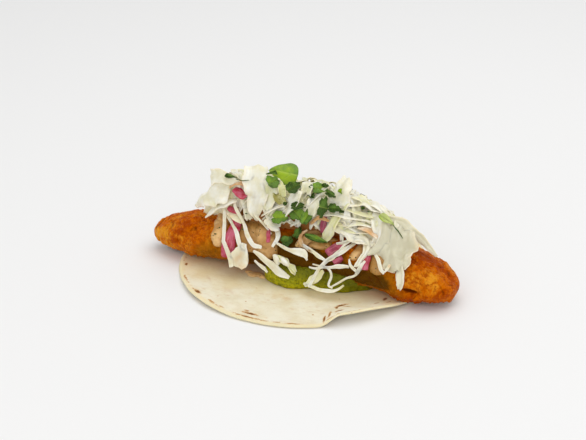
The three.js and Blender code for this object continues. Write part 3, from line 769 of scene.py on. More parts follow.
def heap_height(x):
    """How high the heap stands on the fillet at x."""
    fall = max(x - CROWN_TO, 0) / (HEAP_RIGHT - CROWN_TO)
    return HEAP_HEIGHT * smooth(HEAP_LEFT, CROWN_FROM, x) * max(1 - fall, 0)


def skin(x, around, lift):
    """A point over the fillet and the heap on it. Below 0 and past 180, around falls from the
    fillet's side and runs out over the tortilla."""
    y, z, a, _ = section(x)
    past = -around if around < 90 else around - 180
    if past > 0:
        side = -1 if around < 90 else 1
        ground = TORTILLA_THICK + 1 + lift
        drop = z + lift - ground
        fall = math.radians(90 * min(past / SKIN_TURN, 1))
        out = a + lift + drop * (1 - math.cos(fall)) + RUN_OUT * max(past - SKIN_TURN, 0)
        return Vector((x, y + side * out, ground + (drop - lift) * (1 - math.sin(fall))))
    on_heap = smooth(45, 95, around) if around < 97 else smooth(172, 104, around)
    return fish_at(x, around, heap_height(x) * on_heap + lift)


bm = bmesh.new()
soak_layer = bm.verts.layers.float.new("soak")
bmesh.ops.create_uvsphere(bm, u_segments=150, v_segments=170, radius=1)
for vert in bm.verts:
    z_part = vert.co.z
    x = blend(HEAP_LEFT + 10, CORE_RIGHT, 0.5 + 0.5 * z_part)
    around = math.degrees(math.atan2(vert.co.y, vert.co.x)) % 360
    around -= 360 if around > 270 else 0
    hidden = smooth(-42, -56, x)
    front = CORE_FRONT + 14 * hidden
    sunk = 6 * smooth(0.9, 1.0, abs(z_part))
    sunk += (8 + 11 * hidden) * smooth(front + 14, front, around)
    y, z, _, b = section(x)
    if abs(z_part) > 1 - 1e-7:
        point = Vector((x, y, z))
    elif around <= CORE_LOW or around >= CORE_BACK:
        point = fish_at(x, around, min(-CORE_DEPTH - sunk, -0.6 * b))
    else:
        rough = noise.fractal(Vector((x / 6, around / 14, 0)), 0.8, 2.1, 3)
        crease = noise.voronoi(Vector((x / 3, around / 8, 1)))[0][0]
        point = skin(x, around, 1.8 * rough + 2.4 * (0.3 - crease) - CORE_DEPTH - sunk)
    soaked = smooth(82, 68, around) if around < 110 else smooth(150, 162, around)
    vert[soak_layer] = soaked * smooth(-52, -36, x)
    vert.co = point * MM


def cabbage_finish(name, packed=False):
    """Crisp and part translucent: white ribs, cream flesh, greener towards the outer leaves."""
    shade = Shade(name)
    wash = shade.cloud(7, detail=3)
    fine = shade.cloud(1.6, detail=3, rough=0.6)
    if packed:
        green = shade.step(wash * 0.6 + fine * 0.4, 0.4, 0.6) * 0.5
        lay = None
    else:
        green = shade.step(wash * 0.5 + shade.own("tint") * 0.6, 0.38, 0.85)
        stain = shade.step(shade.own("stain") + (wash - 0.5) * 0.8, 0.2, 0.9)
        # Painted shade that shows through a clear leaf, where stain is below 0.
        clear = shade.step(shade.own("stain") - (wash - 0.5) * 0.8, 0.0, -1.0)
        # Over about 1.1 tint: outer leaf olive, deepened with painted shade.
        outer = shade.step(shade.own("tint") + (fine - 0.5), 1.1, 1.7)
        sockets = {"X": shade.own("along") * 0.12, "Y": shade.own("across")}
        lay = shade.add("CombineXYZ", None, sockets)
    fibre = shade.cloud(1.3, detail=3, rough=0.6, where=lay, unit=1 if lay else MM)
    colour = shade.mix(shade.step(wash, 0.35, 0.65), CABBAGE_WHITE, CABBAGE_CREAM)
    colour = shade.mix(green, colour, CABBAGE_GREEN)
    colour = shade.mix(shade.step(fibre, 0.5, 0.72) * 0.3, colour, CABBAGE_WHITE)
    if not packed:
        rim = shade.own("rim")
        # Painted shade in each shred's middle, as if seen through the thin leaf.
        colour = shade.mix(shade.step(rim, 0.7, 0.2) * 0.35, colour, CABBAGE_CLEAR)
        colour = shade.mix(clear, colour, CABBAGE_CLEAR)
        # Painted highlight along each shred's cut edges.
        colour = shade.mix(shade.step(rim, 0.7, 0.95) * 0.6, colour, CABBAGE_RIM)
        colour = shade.mix(stain, colour, CABBAGE_STAIN)
        colour = shade.mix(outer, colour, CABBAGE_OUTER)
    else:
        colour = shade.mix(0.6, colour, CABBAGE_HEART)
        soaked = shade.step(shade.own("soak") + (fine - 0.5) * 0.8, 0.3, 0.75)
        colour = shade.mix(soaked, colour, CABBAGE_SOAKED)
    return shade.surface({
        "Base Color": colour,
        "Roughness": 0.36,
        "Specular IOR Level": 0.4,
        "Normal": shade.bump(fibre, 0.3),
    }, soft=(0.55, 1.1), spread=(1.0, 0.95, 0.85))


core = shown("cabbage_middle", bm, cabbage_finish("packed_cabbage", packed=True))
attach(core, "root")
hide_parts("cabbage")

# ---------------------------------------------------------------- cabbage, placed shreds
# The shreds, leaf sheets and ruffled ends that show by themselves: knife-cut strips 2 to 4 mm
# wide that hang down over the fillet, and broad thin pieces of leaf laid over the heap.
SHRED_THICK = 0.55
SHEET_THICK = 0.5
LEAF_LAYERS = ("tint", "stain", "along", "across", "rim")
TWIST = 26  # how far a shred turns about its run of itself, in degrees


def run_through(points, u):
    """A smooth run through a list of (x, around, lift), at u from 0 to 1."""
    last = len(points) - 1
    at = clamp(u) * last
    k = min(int(at), last - 1)
    t = at - k
    p1, p2 = Vector(points[k]), Vector(points[k + 1])
    p0 = Vector(points[k - 1]) if k > 0 else p1 * 2 - p2
    p3 = Vector(points[k + 2]) if k + 2 <= last else p2 * 2 - p1
    bend = (p0 * 2 - p1 * 5 + p2 * 4 - p3) * t * t + (p1 * 3 - p0 - p2 * 3 + p3) * t ** 3
    return (p1 * 2 + (p2 - p0) * t + bend) / 2


def ribbon(bm, points, widths, cup=0.0, ruffle=0.0, ridge=0.0, roll=(0, 0), face=None,
           blunt=0.2, torn=0.0, crumple=0.0, tint=0.3, stain=0.0, seed=0.0, steps=28, across=5):
    """A thin piece of leaf along a run of places on the skin.

    widths are its widths along the run. cup arches its section, ruffle waves its edges, ridge
    pleats it lengthwise and crumple dents it. roll turns it about its run, from end to end, in
    degrees. face aims a piece that stands off the heap. blunt is how much its ends narrow, and
    torn how raggedly they stop. tint is its greenness, and over about 1.1 it turns the darker
    olive of an outer leaf in painted shade. stain is the crema on it, or below 0 how much
    painted shade shows through it as through clear leaf."""
    layers = [bm.verts.layers.float[name] for name in LEAF_LAYERS]
    last = len(widths) - 1
    length = sum((skin(*a) - skin(*b)).length for a, b in zip(points, points[1:]))

    def place(u, v):
        side = 2 * v - 1
        if torn:
            short = torn * (0.5 + 0.5 * noise.noise(Vector((side * 2.3, seed, 4))))
            u = blend(0, 1 - short * smooth(0.5, 1, u), u)
        here = run_through(points, u)
        middle = skin(*here)
        ahead = skin(*run_through(points, min(u + 0.02, 1)))
        behind = skin(*run_through(points, max(u - 0.02, 0)))
        run = (ahead - behind).normalized()
        out = Vector(face) if face else skin(here.x, here.y, here.z + 5) - middle
        aside = out.cross(run).normalized()
        twist = blend(*roll, u) + TWIST * noise.noise(Vector((u * length / 7, 3, seed)))
        aside = Matrix.Rotation(math.radians(twist), 3, run) @ aside
        normal = run.cross(aside)
        at = u * last
        k = min(int(at), last - 1)
        width = blend(widths[k], widths[k + 1], smooth(0, 1, at - k))
        width *= 1 - blunt * abs(2 * u - 1) ** 7
        uneven = noise.noise(Vector((u * length / 5, side * 0.4, seed)))
        nick = noise.noise(Vector((u * length / 1.7, side, seed + 7)))
        reach = width / 2 * side * (1 + 0.24 * uneven + 0.1 * nick)
        wave = ruffle * side * side * math.sin(u * length / 1.6 + 3 * uneven + 1.5 * side)
        pleat = ridge * (math.sin(4.5 * side + seed) + 0.4 * math.sin(11 * side + 2 * u))
        dent = crumple * noise.noise(Vector((u * length / 6, side * width / 6, seed + 2)))
        dent += 0.25 * noise.noise(Vector((u * length / 4, side, seed + 5)))
        drift = 0.5 * noise.noise(Vector((u * length / 6, 1, seed + 9)))
        lift = cup * (1 - side * side) + wave + pleat + dent
        return middle + aside * (reach + drift) + normal * lift

    for vert, u, v in grid(bm, steps, across, place):
        green = tint + 0.3 * noise.noise(Vector((u * 2, v * 2, seed + 3)))
        spill = stain + 0.3 * noise.noise(Vector((u * 2, v * 2, seed + 6))) if stain else 0
        values = (green, spill, u * length + seed * 7, v * max(widths), abs(2 * v - 1))
        for layer, value in zip(layers, values):
            vert[layer] = value


def new_leaf_mesh():
    """An empty mesh that carries what the cabbage's finish reads."""
    bm = bmesh.new()
    for name in LEAF_LAYERS:
        bm.verts.layers.float.new(name)
    return bm


# Strips: their runs, their widths, and what else shapes them.
HANGING = [
    ([(-46, 68, 1), (-45, 62, 3.2), (-44, 50, 4), (-42, 25, 4), (-40, 13, 4), (-34, -12, 4.2)],
     [1.6, 2.1, 2.4, 3.4], {}),
    ([(-44, 62, 1.5), (-42, 56, 3.5), (-38, 44, 4), (-34, 31, 4.1), (-30, 14, 4.1), (-26, 10, 4.1)],
     [1.4, 1.9, 2.6, 2.4], {}),
    ([(-39, 74, 0), (-38, 66, 2.8), (-32, 53, 4), (-28, 33, 4.2), (-23, 20, 4.2), (-17, 18, 4)],
     [1.8, 2.1, 3.2, 2.4], {}),
    ([(-30, 68, 1), (-26, 63, 3), (-21, 56, 3.6), (-17, 50, 3.5), (-14, 41, 3)], [1.3, 1.3, 1], {}),
    ([(-43, 62, 2.6), (-38, 58, 3.9), (-33, 53, 3.4)], [3.6, 5, 3.6], {"tint": 0.4, "cup": 0.4}),
    ([(-28, 20, 4.2), (-29, 7, 4.2), (-31, -5, 4), (-32.5, -12, 3.6)], [4, 9, 11.5, 8],
     {"blunt": 0.3, "tint": 0.15, "crumple": 0.9, "across": 10, "torn": 0.15}),
    ([(-22, 12, 3.4), (-12, 0.5, 4.2), (-6, -7, 3.9), (2, -12, 3.3)], [2.6, 4.4, 5.2, 3.2],
     {"blunt": 0.5, "cup": 0.5, "tint": 0.0, "crumple": 0.5, "across": 8}),
    ([(-21, -1, 3.7), (-16, -6, 3.6), (-12, -10.5, 3.2)], [1.6, 2.2, 1.5], {}),
    ([(-9, 10, 3.4), (-4, 7, 4), (0, 3, 4.1), (3, -3, 3.9), (6.5, -9, 3.2)], [2, 3, 4, 3.6, 1.6],
     {"ruffle": 1.5, "ridge": 0.5, "tint": 1.0, "steps": 48, "across": 8, "torn": 0.2}),
    ([(-19, 62, 1), (-14, 57, 3.6), (-8, 52, 3.6)], [6, 9, 5],
     {"crumple": 1.4, "ruffle": 0.8, "torn": 0.3, "tint": 0.05, "across": 9}),
    ([(-12, 54, 3), (-9, 36, 3.9), (-11, 21, 3.6)], [3.2, 2.8, 1.8], {"ruffle": 0.4}),
    ([(-22, 64, 1), (-15, 68, 3.4), (-7, 72, 3.4)], [1.8, 3, 2.8], {"tint": 0.0}),
    ([(-10, 29, 3.6), (-2, 22, 4.1), (5, 21, 4.3), (9, 19, 4.2), (11.5, 11, 3.7)],
     [1.4, 2.2, 4.4, 5, 1.2], {"tint": 0.05, "crumple": 0.8}),
    ([(3, 38, 3), (7, 31, 4), (14, 24, 4.2), (19, 18, 4.1), (24, 14, 3.9)], [1.3, 1.7, 2.4, 1.6], {}),
    ([(39, 62, 1), (32, 32, 4.2), (24, 17, 4.4), (19, 3, 4.2), (16, -10, 3.8), (15, -17, 3.3)],
     [2, 2.4, 2, 1.4], {}),
    ([(13, 4, 3.6), (18, 4, 4.6), (23, 7, 4.2)], [1, 1.3, 1], {}),
    ([(37, 50, 3), (28, 25, 4.4), (22, 11, 4.2)], [1.4, 2.6, 1.6], {"roll": (0, 25)}),
    ([(22, 2, 4), (17, -9, 3.5), (12, -16, 3)], [2.4, 5.4, 2.4], {"ruffle": 0.5, "tint": 0.6}),
    ([(20, 62, 2), (28, 57, 3.6), (29, 47, 3.4)], [1.2, 1.1], {}),
    ([(27, 68, 1.5), (27, 62, 3.2), (28, 48, 3.6)], [1.1, 1.1], {}),
    ([(22, 66, 2), (31, 65, 3.4), (41, 60, 3.6), (47, 54, 3)], [1.2, 1.8, 1.6], {"tint": 0.5}),
    ([(30, 58, 2), (37, 62, 3.8), (46, 65, 3.4)], [1.2, 1.6, 1.2], {}),
    ([(24, 60, 2.4), (31, 55, 3.8), (38, 56, 3.6), (44, 59, 3)], [1.4, 2, 1.4], {"tint": 0.45}),
    ([(15, 8, 4), (24, 7, 4.3), (31, 11, 4.4), (37, 12, 3.8)], [0.9, 1.4, 3, 2],
     {"tint": 0.05, "crumple": 0.6}),
    ([(20, 8, 4), (25, 6, 4.4), (27, -3, 4.1), (26, -12, 3.8), (29, -14, 3.6)], [1.5, 1.4, 1.2], {}),
    ([(11, -14, 3.1), (20, -17, 3.1), (30, -16, 3.3), (35, -9, 3.8)], [1.6, 2.2, 1.3], {"tint": 0.5}),
    ([(28, -13, 3.5), (36, -2, 3.9), (42, 5, 4.1), (44, 14, 3.9)], [1.1, 1.4, 1.8], {}),
    ([(36, 22, 3.8), (38, 15, 4.2), (41, 10, 4.2), (43, 6, 3.8)], [1.2, 1.8, 1.4], {"tint": 0.05}),
    ([(46, 24, 3.8), (43, 12, 4.2), (41, 3, 3.9)], [1.6, 2.2, 1.2], {"ruffle": 0.4}),
    ([(34, 52, 4), (31, 40, 4.4), (28, 26, 4.3), (22, 12, 4.2)], [1.1, 1.3, 1.1], {"tint": 0.0}),
    ([(49, 40, 3), (53, 31, 3.9), (56, 20, 3.8), (58, 15, 3.4)], [1.4, 2.2, 2.4, 1.2], {}),
    ([(60, 30, 3.4), (59.5, 24, 3.9), (58, 17, 3.5)], [1.8, 1.6, 1], {}),
    ([(7, 56, 3.4), (4, 47, 3.8), (5.5, 34, 3.9), (10, 27, 4.1), (14, 23, 4)],
     [1.2, 1.8, 2.5, 2.2, 1.2], {"stain": 0.85}),
    ([(-32, 67, 2), (-30, 61, 3), (-28, 53, 3)], [2.4, 4.2, 4], {"stain": -0.6, "torn": 0.5}),
    ([(-8.5, 11, 3.8), (-7, 6, 4.6), (-5.5, 1, 3.7)], [2.8, 3.6, 2.4], {"cup": 1.6, "tint": 0.1}),
    ([(-3.5, 9, 3.8), (-1.5, 5, 4.8), (0.5, 1, 3.8)], [2.8, 3.6, 2.4], {"cup": 1.6, "tint": 0.1}),
]
# Broad pieces of leaf, which show the ribs and pleats that they grew with.
SHEETS = [
    ([(59, 94, 0), (60, 80, 3.4), (61.5, 57, 4), (64, 38, 3.8), (66.5, 22, 3.2)],
     [15, 23, 24.5, 18, 8], {"ridge": 1.1, "crumple": 2.1, "tint": 0.3, "across": 34, "steps": 50,
                             "blunt": 0.3, "torn": 0.1, "stain": -1.1}),
    ([(65.6, 32, 2.4), (67.2, 21, 3.6), (68.4, 10, 4.2), (67.6, 1, 3.2)], [5, 5.8, 4.6, 1.8],
     {"ridge": 0.3, "tint": 0.1, "blunt": 0.1, "across": 8, "torn": 0.1, "stain": -0.5}),
    ([(52, 82, 3), (54, 66, 4.8), (51, 47, 4.8), (46, 33, 4)], [5, 6, 5, 2.6],
     {"cup": 1.2, "tint": 0.2, "across": 10, "crumple": 1.2, "stain": -1.0}),
    ([(26, 41, 3.6), (32, 48, 4.2), (37, 54, 4.8), (42, 54, 5), (44.5, 46, 4.8), (44.5, 33, 4.4),
      (42.5, 22, 4.4), (42, 14, 4.2), (42, 5, 3.6)], [1.2, 2, 4.2, 5.2, 4.6, 3, 2.6, 4.6, 7],
     {"cup": 0.6, "tint": 0.0, "ridge": 0.5, "across": 12, "steps": 56, "torn": 0.25, "blunt": 0}),
    ([(22, 70, -0.8), (31, 68, 0.2), (40, 66, 0.4), (50, 66, 0)], [10, 16, 17, 13],
     {"crumple": 2.0, "ridge": 0.3, "tint": 0.3, "across": 14}),
    ([(52, 91, 1), (61, 95, 3), (70, 96.5, 2.6), (77, 97, 2), (83, 97.5, 1.4)], [5, 7.5, 6.5, 4, 1.8],
     {"face": (0.25, -0.75, 0.6), "tint": 0.1, "ridge": 0.4, "across": 10, "stain": -0.7}),
    ([(54, 101, 1), (66, 104, 2.4), (78, 106, 1.6)], [4, 4, 2.6], {"tint": 0.15}),
    ([(-66, 78, 3), (-59, 75.5, 4.6), (-51, 74, 5), (-42, 74, 3.2)], [3.6, 10.5, 15, 15],
     {"face": (0.1, -0.7, 0.7), "cup": 1.5, "tint": 0.35, "across": 16, "blunt": 0.3,
      "crumple": 0.8}),
    ([(-57.5, 56, 3), (-51, 63.5, 4.6), (-44, 67, 4.6), (-37, 71, 3)], [1.8, 4.6, 5.4, 3.4],
     {"tint": 0.0, "cup": 0.4}),
    ([(-36, 81, 2.6), (-45, 80.5, 7.4), (-52, 82, 10.8), (-56.5, 84, 12)], [4, 6.5, 9, 11],
     {"face": (0.35, -0.8, 0.45), "tint": 0.05, "across": 12, "crumple": 1.2, "blunt": 0.15,
      "torn": 0.1, "stain": -0.35}),
    ([(-24.5, 58, 2), (-25.5, 68, 3.4), (-25, 76, 3.8), (-28, 86, 4.8), (-31, 97, 8)],
     [2, 10, 15, 15.5, 14],
     {"crumple": 1.1, "tint": 0.1, "across": 16, "ridge": 0.3, "steps": 34, "blunt": 0.15,
      "torn": 0.12}),
    ([(-20, 94, 3), (-17.5, 84, 3.4), (-18, 75, 3.2), (-19, 65, 2.8)], [7, 10, 10, 7],
     {"tint": 0.66, "crumple": 1.2, "across": 10, "torn": 0.2}),
    ([(-36, 76, 1), (-33, 84, 4), (-30, 90, 4)], [5, 6, 5], {"tint": 0.1, "crumple": 0.8}),
    ([(-43, 79, 3), (-38, 81, 4.6), (-32, 80, 4.2)], [4, 6, 4], {"stain": 0.9, "crumple": 0.6}),
    ([(37, 67, 3), (43, 67, 4.6), (50, 62, 4.4)], [3, 5, 3], {"stain": 0.65, "crumple": 0.8}),
    ([(23, 82, 0), (24, 90, 5.5), (26.5, 97, 12.5)], [13, 11, 6.5],
     {"tint": 0.3, "crumple": 1.6, "across": 12, "blunt": 0.0, "torn": 0.2, "ridge": 0.4}),
    ([(28, 94, 1), (34, 92, 4.2), (41, 90, 3)], [5, 7.5, 5],
     {"tint": 0.5, "crumple": 1.6, "across": 8}),
    ([(36, 96, 1), (44, 94, 3.8), (52, 92, 2)], [4, 7, 5],
     {"tint": 0.3, "crumple": 1.6, "across": 8}),
    ([(-15, 80, 2), (-11.5, 76, 4.8), (-8, 71, 3.6)], [4, 6.5, 4.5],
     {"tint": 1.5, "crumple": 1.8, "ruffle": 1.2, "across": 8, "torn": 0.2}),
    ([(-14, 88, 2), (-11.5, 82, 4.6), (-9, 77, 3)], [3.4, 5.5, 3.6], {"tint": 1.15, "ruffle": 1.2}),
    ([(9, 84, 1), (10, 76, 3.8), (9, 68, 2.4)], [6, 8, 5], {"tint": 0.4, "crumple": 1.6, "across": 8}),
    ([(3, 69, 1.5), (6, 73, 3.6), (12, 81, 4.4), (17, 92, 3.6)], [2.4, 3, 3, 2.2], {"tint": 0.05}),
    ([(4, 96, 1), (4, 86, 4.2), (3, 76, 3.4)], [8, 9, 7],
     {"tint": 0.4, "crumple": 1.8, "across": 10, "torn": 0.4}),
    ([(-7, 67, 1), (-2.5, 75, 4.4), (-1, 84, 3.6)], [5, 8.5, 7],
     {"tint": 0.15, "crumple": 1.6, "across": 10, "torn": 0.3}),
    ([(16, 70, 2.4), (23, 71, 4), (30, 71, 4.2), (37, 73, 4), (44, 76, 3)], [1.4, 1.9, 2, 1.4],
     {"tint": 0.15}),
    ([(25, 73, 2), (21.5, 62, 4), (19.5, 51, 3.8), (17.5, 42, 2.4)], [5, 7, 6.4, 3],
     {"tint": 0.75, "ridge": 0.4, "across": 8, "crumple": 0.8}),
    ([(28, 80, 1.4), (37, 78, 3.8), (45, 81, 2.6)], [2.4, 3.2, 2], {"tint": 0.6, "crumple": 0.6}),
    ([(28, 63, 2.4), (36, 69, 4.2), (45, 71, 3.4)], [2, 2.8, 1.6], {"tint": 0.5}),
    ([(24, 68, 2), (32, 61, 4.2), (41, 63, 3.2)], [2, 3, 1.6], {"tint": 0.85}),
    ([(28, 86, 0.6), (38, 90, 3), (50, 94, 2.2)], [8, 10, 7],
     {"tint": 0.3, "crumple": 1.2, "across": 10}),
    ([(8.5, 63, 2), (14, 66, 4.8), (20, 66, 3.6)], [2.6, 3.4, 2.4], {"stain": 1.3, "crumple": 0.8}),
    ([(44, 86, 0), (48, 76, 3), (49, 62, 3.8), (46, 42, 4)], [6, 6.5, 5, 3],
     {"tint": 0.1, "ridge": 0.5, "across": 8, "crumple": 0.8}),
]

leaf_finish = cabbage_finish("cabbage_leaf")
bm = new_leaf_mesh()
for number, (points, widths, shape) in enumerate(HANGING):
    ribbon(bm, points, widths, seed=number * 1.7, **{"stain": 0.22, **shape})
hanging = finished(shown("cabbage_hanging_shreds", bm, leaf_finish), SHRED_THICK, rounds=1)
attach(hanging, "root")

bm = new_leaf_mesh()
for number, (points, widths, shape) in enumerate(SHEETS):
    ribbon(bm, points, widths, seed=40 + number * 1.3, **shape)
sheets = finished(shown("cabbage_leaf_sheets", bm, leaf_finish), SHEET_THICK, rounds=1)
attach(sheets, "root")

# ---------------------------------------------------------------- cabbage, loose shreds
# The rest of the heap: short cut shreds thrown on by hand, lying every way over the packed
# middle, some arching clear of it, and a few fallen down the back.
LOOSE = {"front": (165, 64, 100), "back": (150, 98, 160)}  # how many, and from where to where
LOOSE_FROM, LOOSE_TO = -58, 62
LOOSE_ENDS = (-66, 72)  # how far along their ends may reach
LOOSE_WIDTHS = (2.0, 6.2)
SHELL_TO, SHELL_AROUND = -38, 92  # the big leaf at the left covers the front up to here
FALLEN = 14
CLEAR = [  # places where leaves and onion lie on top: x, around, and how far round them
    (-14, 90, 9), (-17, 84, 6), (-4, 84, 8), (-40, 90, 6), (11.5, 85, 7), (18, 83, 6),
    (16, 73, 9), (23, 76, 6), (0, 69, 8), (7, 65, 9), (-10, 62, 7), (53, 82, 7),
    (-37, 76, 7), (-40, 65, 6), (16, 64, 7), (-50, 76, 9), (44, 48, 8),
]


def front_edge(x):
    """How far down the front the loose shreds reach at x."""
    if x < -44:
        return 84
    return 62 if x < 22 else 56


draw = random.Random(11)
for place_name, (count, lowest, highest) in LOOSE.items():
    bm = new_leaf_mesh()
    for number in range(count):
        x = draw.uniform(LOOSE_FROM, LOOSE_TO)
        around = draw.uniform(max(lowest, SHELL_AROUND) if x < SHELL_TO else lowest, highest)
        turn = draw.uniform(-15, 15)
        swing = draw.uniform(-22, 22)
        arch = draw.choice([0.4, 0.8, 1.4, 2.2])
        level = draw.uniform(-1.2, 1.0)
        for spot_x, spot_around, reach in CLEAR:
            if math.hypot(x - spot_x, (around - spot_around) * 0.6) < reach:
                level, arch = -2.0, 0.8
        least = max(lowest - 4, front_edge(x))
        ends = [clamp(around + swing * share, least, CORE_BACK - 2) for share in (1, -0.4)]
        points = [
            (clamp(x - turn / 2, *LOOSE_ENDS), ends[1], level),
            (clamp(x, *LOOSE_ENDS), sum(ends) / 2 + draw.uniform(-5, 5), level + arch),
            (clamp(x + turn / 2, *LOOSE_ENDS), ends[0], level - 0.4),
        ]
        width = draw.uniform(*LOOSE_WIDTHS)
        ribbon(bm, points, [width * 0.7, width, width * draw.uniform(0.4, 0.9)],
               cup=draw.uniform(-0.6, 0.6), ruffle=draw.choice([0, 0, 0.6]), crumple=1.1,
               roll=(draw.uniform(-30, 30), draw.uniform(-30, 30)), blunt=0.1,
               tint=draw.uniform(0.0, 0.85), seed=100 + number, steps=12, across=4)
    if place_name == "back":
        for number in range(FALLEN):
            x = blend(-54, 62, (number + draw.uniform(0.1, 0.9)) / FALLEN)
            end = (x + draw.uniform(-9, 9), draw.uniform(158, 198), 3.4)
            width = draw.uniform(2, 6)
            ribbon(bm, [(x, 118, -1), (x + draw.uniform(-4, 4), 140, 3), end],
                   [width * 0.8, width, width * 0.5], cup=0.3, crumple=0.8,
                   tint=draw.uniform(0, 0.5), seed=700 + number, steps=20, across=4)
    loose = finished(shown(f"cabbage_loose_{place_name}", bm, leaf_finish), SHRED_THICK, rounds=1)
    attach(loose, "root")

# ---------------------------------------------------------------- pickled onion
# Slivers of pickled red onion: each is a piece of one layer, crimson on its skin side and
# along its lines, paler at its cut edges, wet and part translucent.
ONION_THICK = 1.2
ONION_CRIMSON = paint(184, 40, 62)
ONION_PLUM = paint(140, 56, 78)
ONION_PINK = paint(198, 96, 120)
ONION_PALE = paint(214, 150, 150)
ONIONS = [
    ([(-36.5, 60, 2.2), (-38, 30, 2.4), (-39, -4, 2.2)], [6, 8, 9.5], 0.6, 0.2),
    ([(-40, 77.5, 3.2), (-36.5, 75.5, 3.8), (-32, 73, 3.2)], [5, 6.5, 5.5], 0.5, 0.1),
    ([(-43, 66.5, 1.4), (-40, 65, 1.6), (-36, 63.5, 1.4)], [3.2, 3.4, 3], 0.2, 0.3),
    ([(-16.5, 54, 2.8), (-15.5, 40, 3), (-14.5, 26, 2.8)], [1.6, 2.6, 2.4], 0.2, 0.1),
    ([(17, 70.5, 1.4), (16.5, 64, 1.8), (16, 56.5, 1.6)], [3.6, 3.8, 2.6], 0.2, 0.95),
    ([(29.5, 46, 2.2), (26, 34, 2.5), (22, 23, 2.2)], [4, 5, 5.5], 0.5, 0.8),
    ([(27, 13, 2.1), (29, 17, 2.4), (31.5, 22, 2.1)], [4.2, 4, 3], 0.3, 0.8),
    ([(46, 36, 2.3), (46.2, 24, 2.6), (46.5, 12, 2.3)], [3.6, 4, 4.2], 0.5, 0.2),
    ([(-28, 122, 1.6), (-25, 136, 2.4), (-20, 148, 2.2)], [5, 5, 4], 0.7, 0.3),
    ([(36, 132, 1.6), (38, 148, 2.4), (40, 164, 2.2)], [4.4, 4.4, 4], 0.7, 0.6),
]
shade = Shade("pickled_onion")
lay = shade.add("CombineXYZ", None, {"X": shade.own("along") * 0.08, "Y": shade.own("across")})
lines = shade.cloud(0.9, detail=2, where=lay, unit=1)
wash = shade.cloud(6)
colour = shade.mix(shade.own("tint"), ONION_CRIMSON, ONION_PLUM)
colour = shade.mix(shade.step(wash, 0.42, 0.66), colour, ONION_PINK)
colour = shade.mix(shade.step(lines, 0.52, 0.7) * 0.45, colour, ONION_PALE)
onion_finish = shade.surface({
    "Base Color": colour,
    "Roughness": 0.24,
    "Specular IOR Level": 0.4,
    "Normal": shade.bump(lines, 0.2),
}, soft=(0.35, 1.6))
for number, (points, widths, cup, plum) in enumerate(ONIONS):
    bm = new_leaf_mesh()
    ribbon(bm, points, widths, cup=cup, blunt=0.3, tint=plum, seed=3 + number, steps=24, across=8)
    sliver = finished(shown(f"onion_sliver_{number + 1}", bm, onion_finish), ONION_THICK, rounds=1)
    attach(sliver, "root")
    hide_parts(f"onion_{number + 1}")

# ---------------------------------------------------------------- cilantro
# Picked cilantro leaflets, lobed and a little wilted, scattered by hand: bright green where
# they face the light, darker and bluer where they lie in the shade, with paler veins.
LEAF_THICK = 0.4
LEAF_LIME = paint(154, 182, 40)
LEAF_GREEN = paint(108, 144, 58)
# green darkened with painted shade
LEAF_DEEP = paint(48, 74, 26)
LEAF_VEIN = paint(188, 206, 104)
LEAF_PALE = paint(192, 202, 128)  # the underside of a leaf
# Leaves: (x, around, lift), length, width, spin, lean, cup, lobes (0 for a plain pointed
# blade), and how far its green is darkened with painted shade, from 0 to 1, or below 0 for a
# pale one.
LEAVES = [
    ((-13.6, 93.5, 6), 18.5, 14, 178, -50, -3, 0, 0.1),
    ((-16.8, 82.6, 6.3), 9, 9.5, 60, 34, 1.6, 3, 0.45),
    ((-4.2, 81.5, 5.4), 11, 7.6, 62, 38, 1.4, 3, 0.85),
    ((-42, 79.5, 10), 8.5, 2.6, -16, 40, 0.5, 0, 0.75),
    ((11.5, 84.5, 4.6), 9.5, 8, 20, 34, 1.4, 3, 0.4),
    ((8.5, 79, 4.4), 5, 3.6, -50, 25, 0.8, 3, 0.9),
    ((18.5, 83, 4.4), 7, 4.2, -15, 32, 1.0, 5, 0.8),
    ((16, 72, 6.2), 5.8, 13.5, 0, 45, 1.2, 5, 0.85),
    ((22, 74, 5), 8, 5.8, 15, 30, 1.4, 3, 0.8),
    ((0.5, 66, 4.4), 10.5, 9, -40, 14, 1.6, 5, 0.45),
    ((7, 65, 4.8), 15, 6.5, 85, 12, 1.4, 3, 0.5),
    ((-10, 62, 3.8), 10.5, 8.5, 5, 10, 1.4, 3, 0.3),
    ((-3.5, 33, 2.8), 7.5, 7.5, 30, 0, 0.8, 3, 0.85),
    ((14, 43.4, 4.6), 15, 3.8, -10, 0, 0.9, 0, 0.5),
    ((53.2, 80.5, 6.6), 10.5, 4.6, -6, 30, 0.8, 0, -0.7),
    ((1.5, 50, 3.2), 8, 5, 80, 0, 0.8, 5, 0.75),
    ((-34, 120, 2.8), 11, 9, 30, 0, 1.2, 5, 0.5),
    ((2, 124, 3.0), 13, 8, -35, 0, 1.2, 3, 0.3),
    ((30, 126, 2.8), 10, 8, 60, 0, 1.0, 3, 0.7),
    ((-12, 150, 3.2), 9, 7, 10, 0, 0.8, 5, 0.5),
]


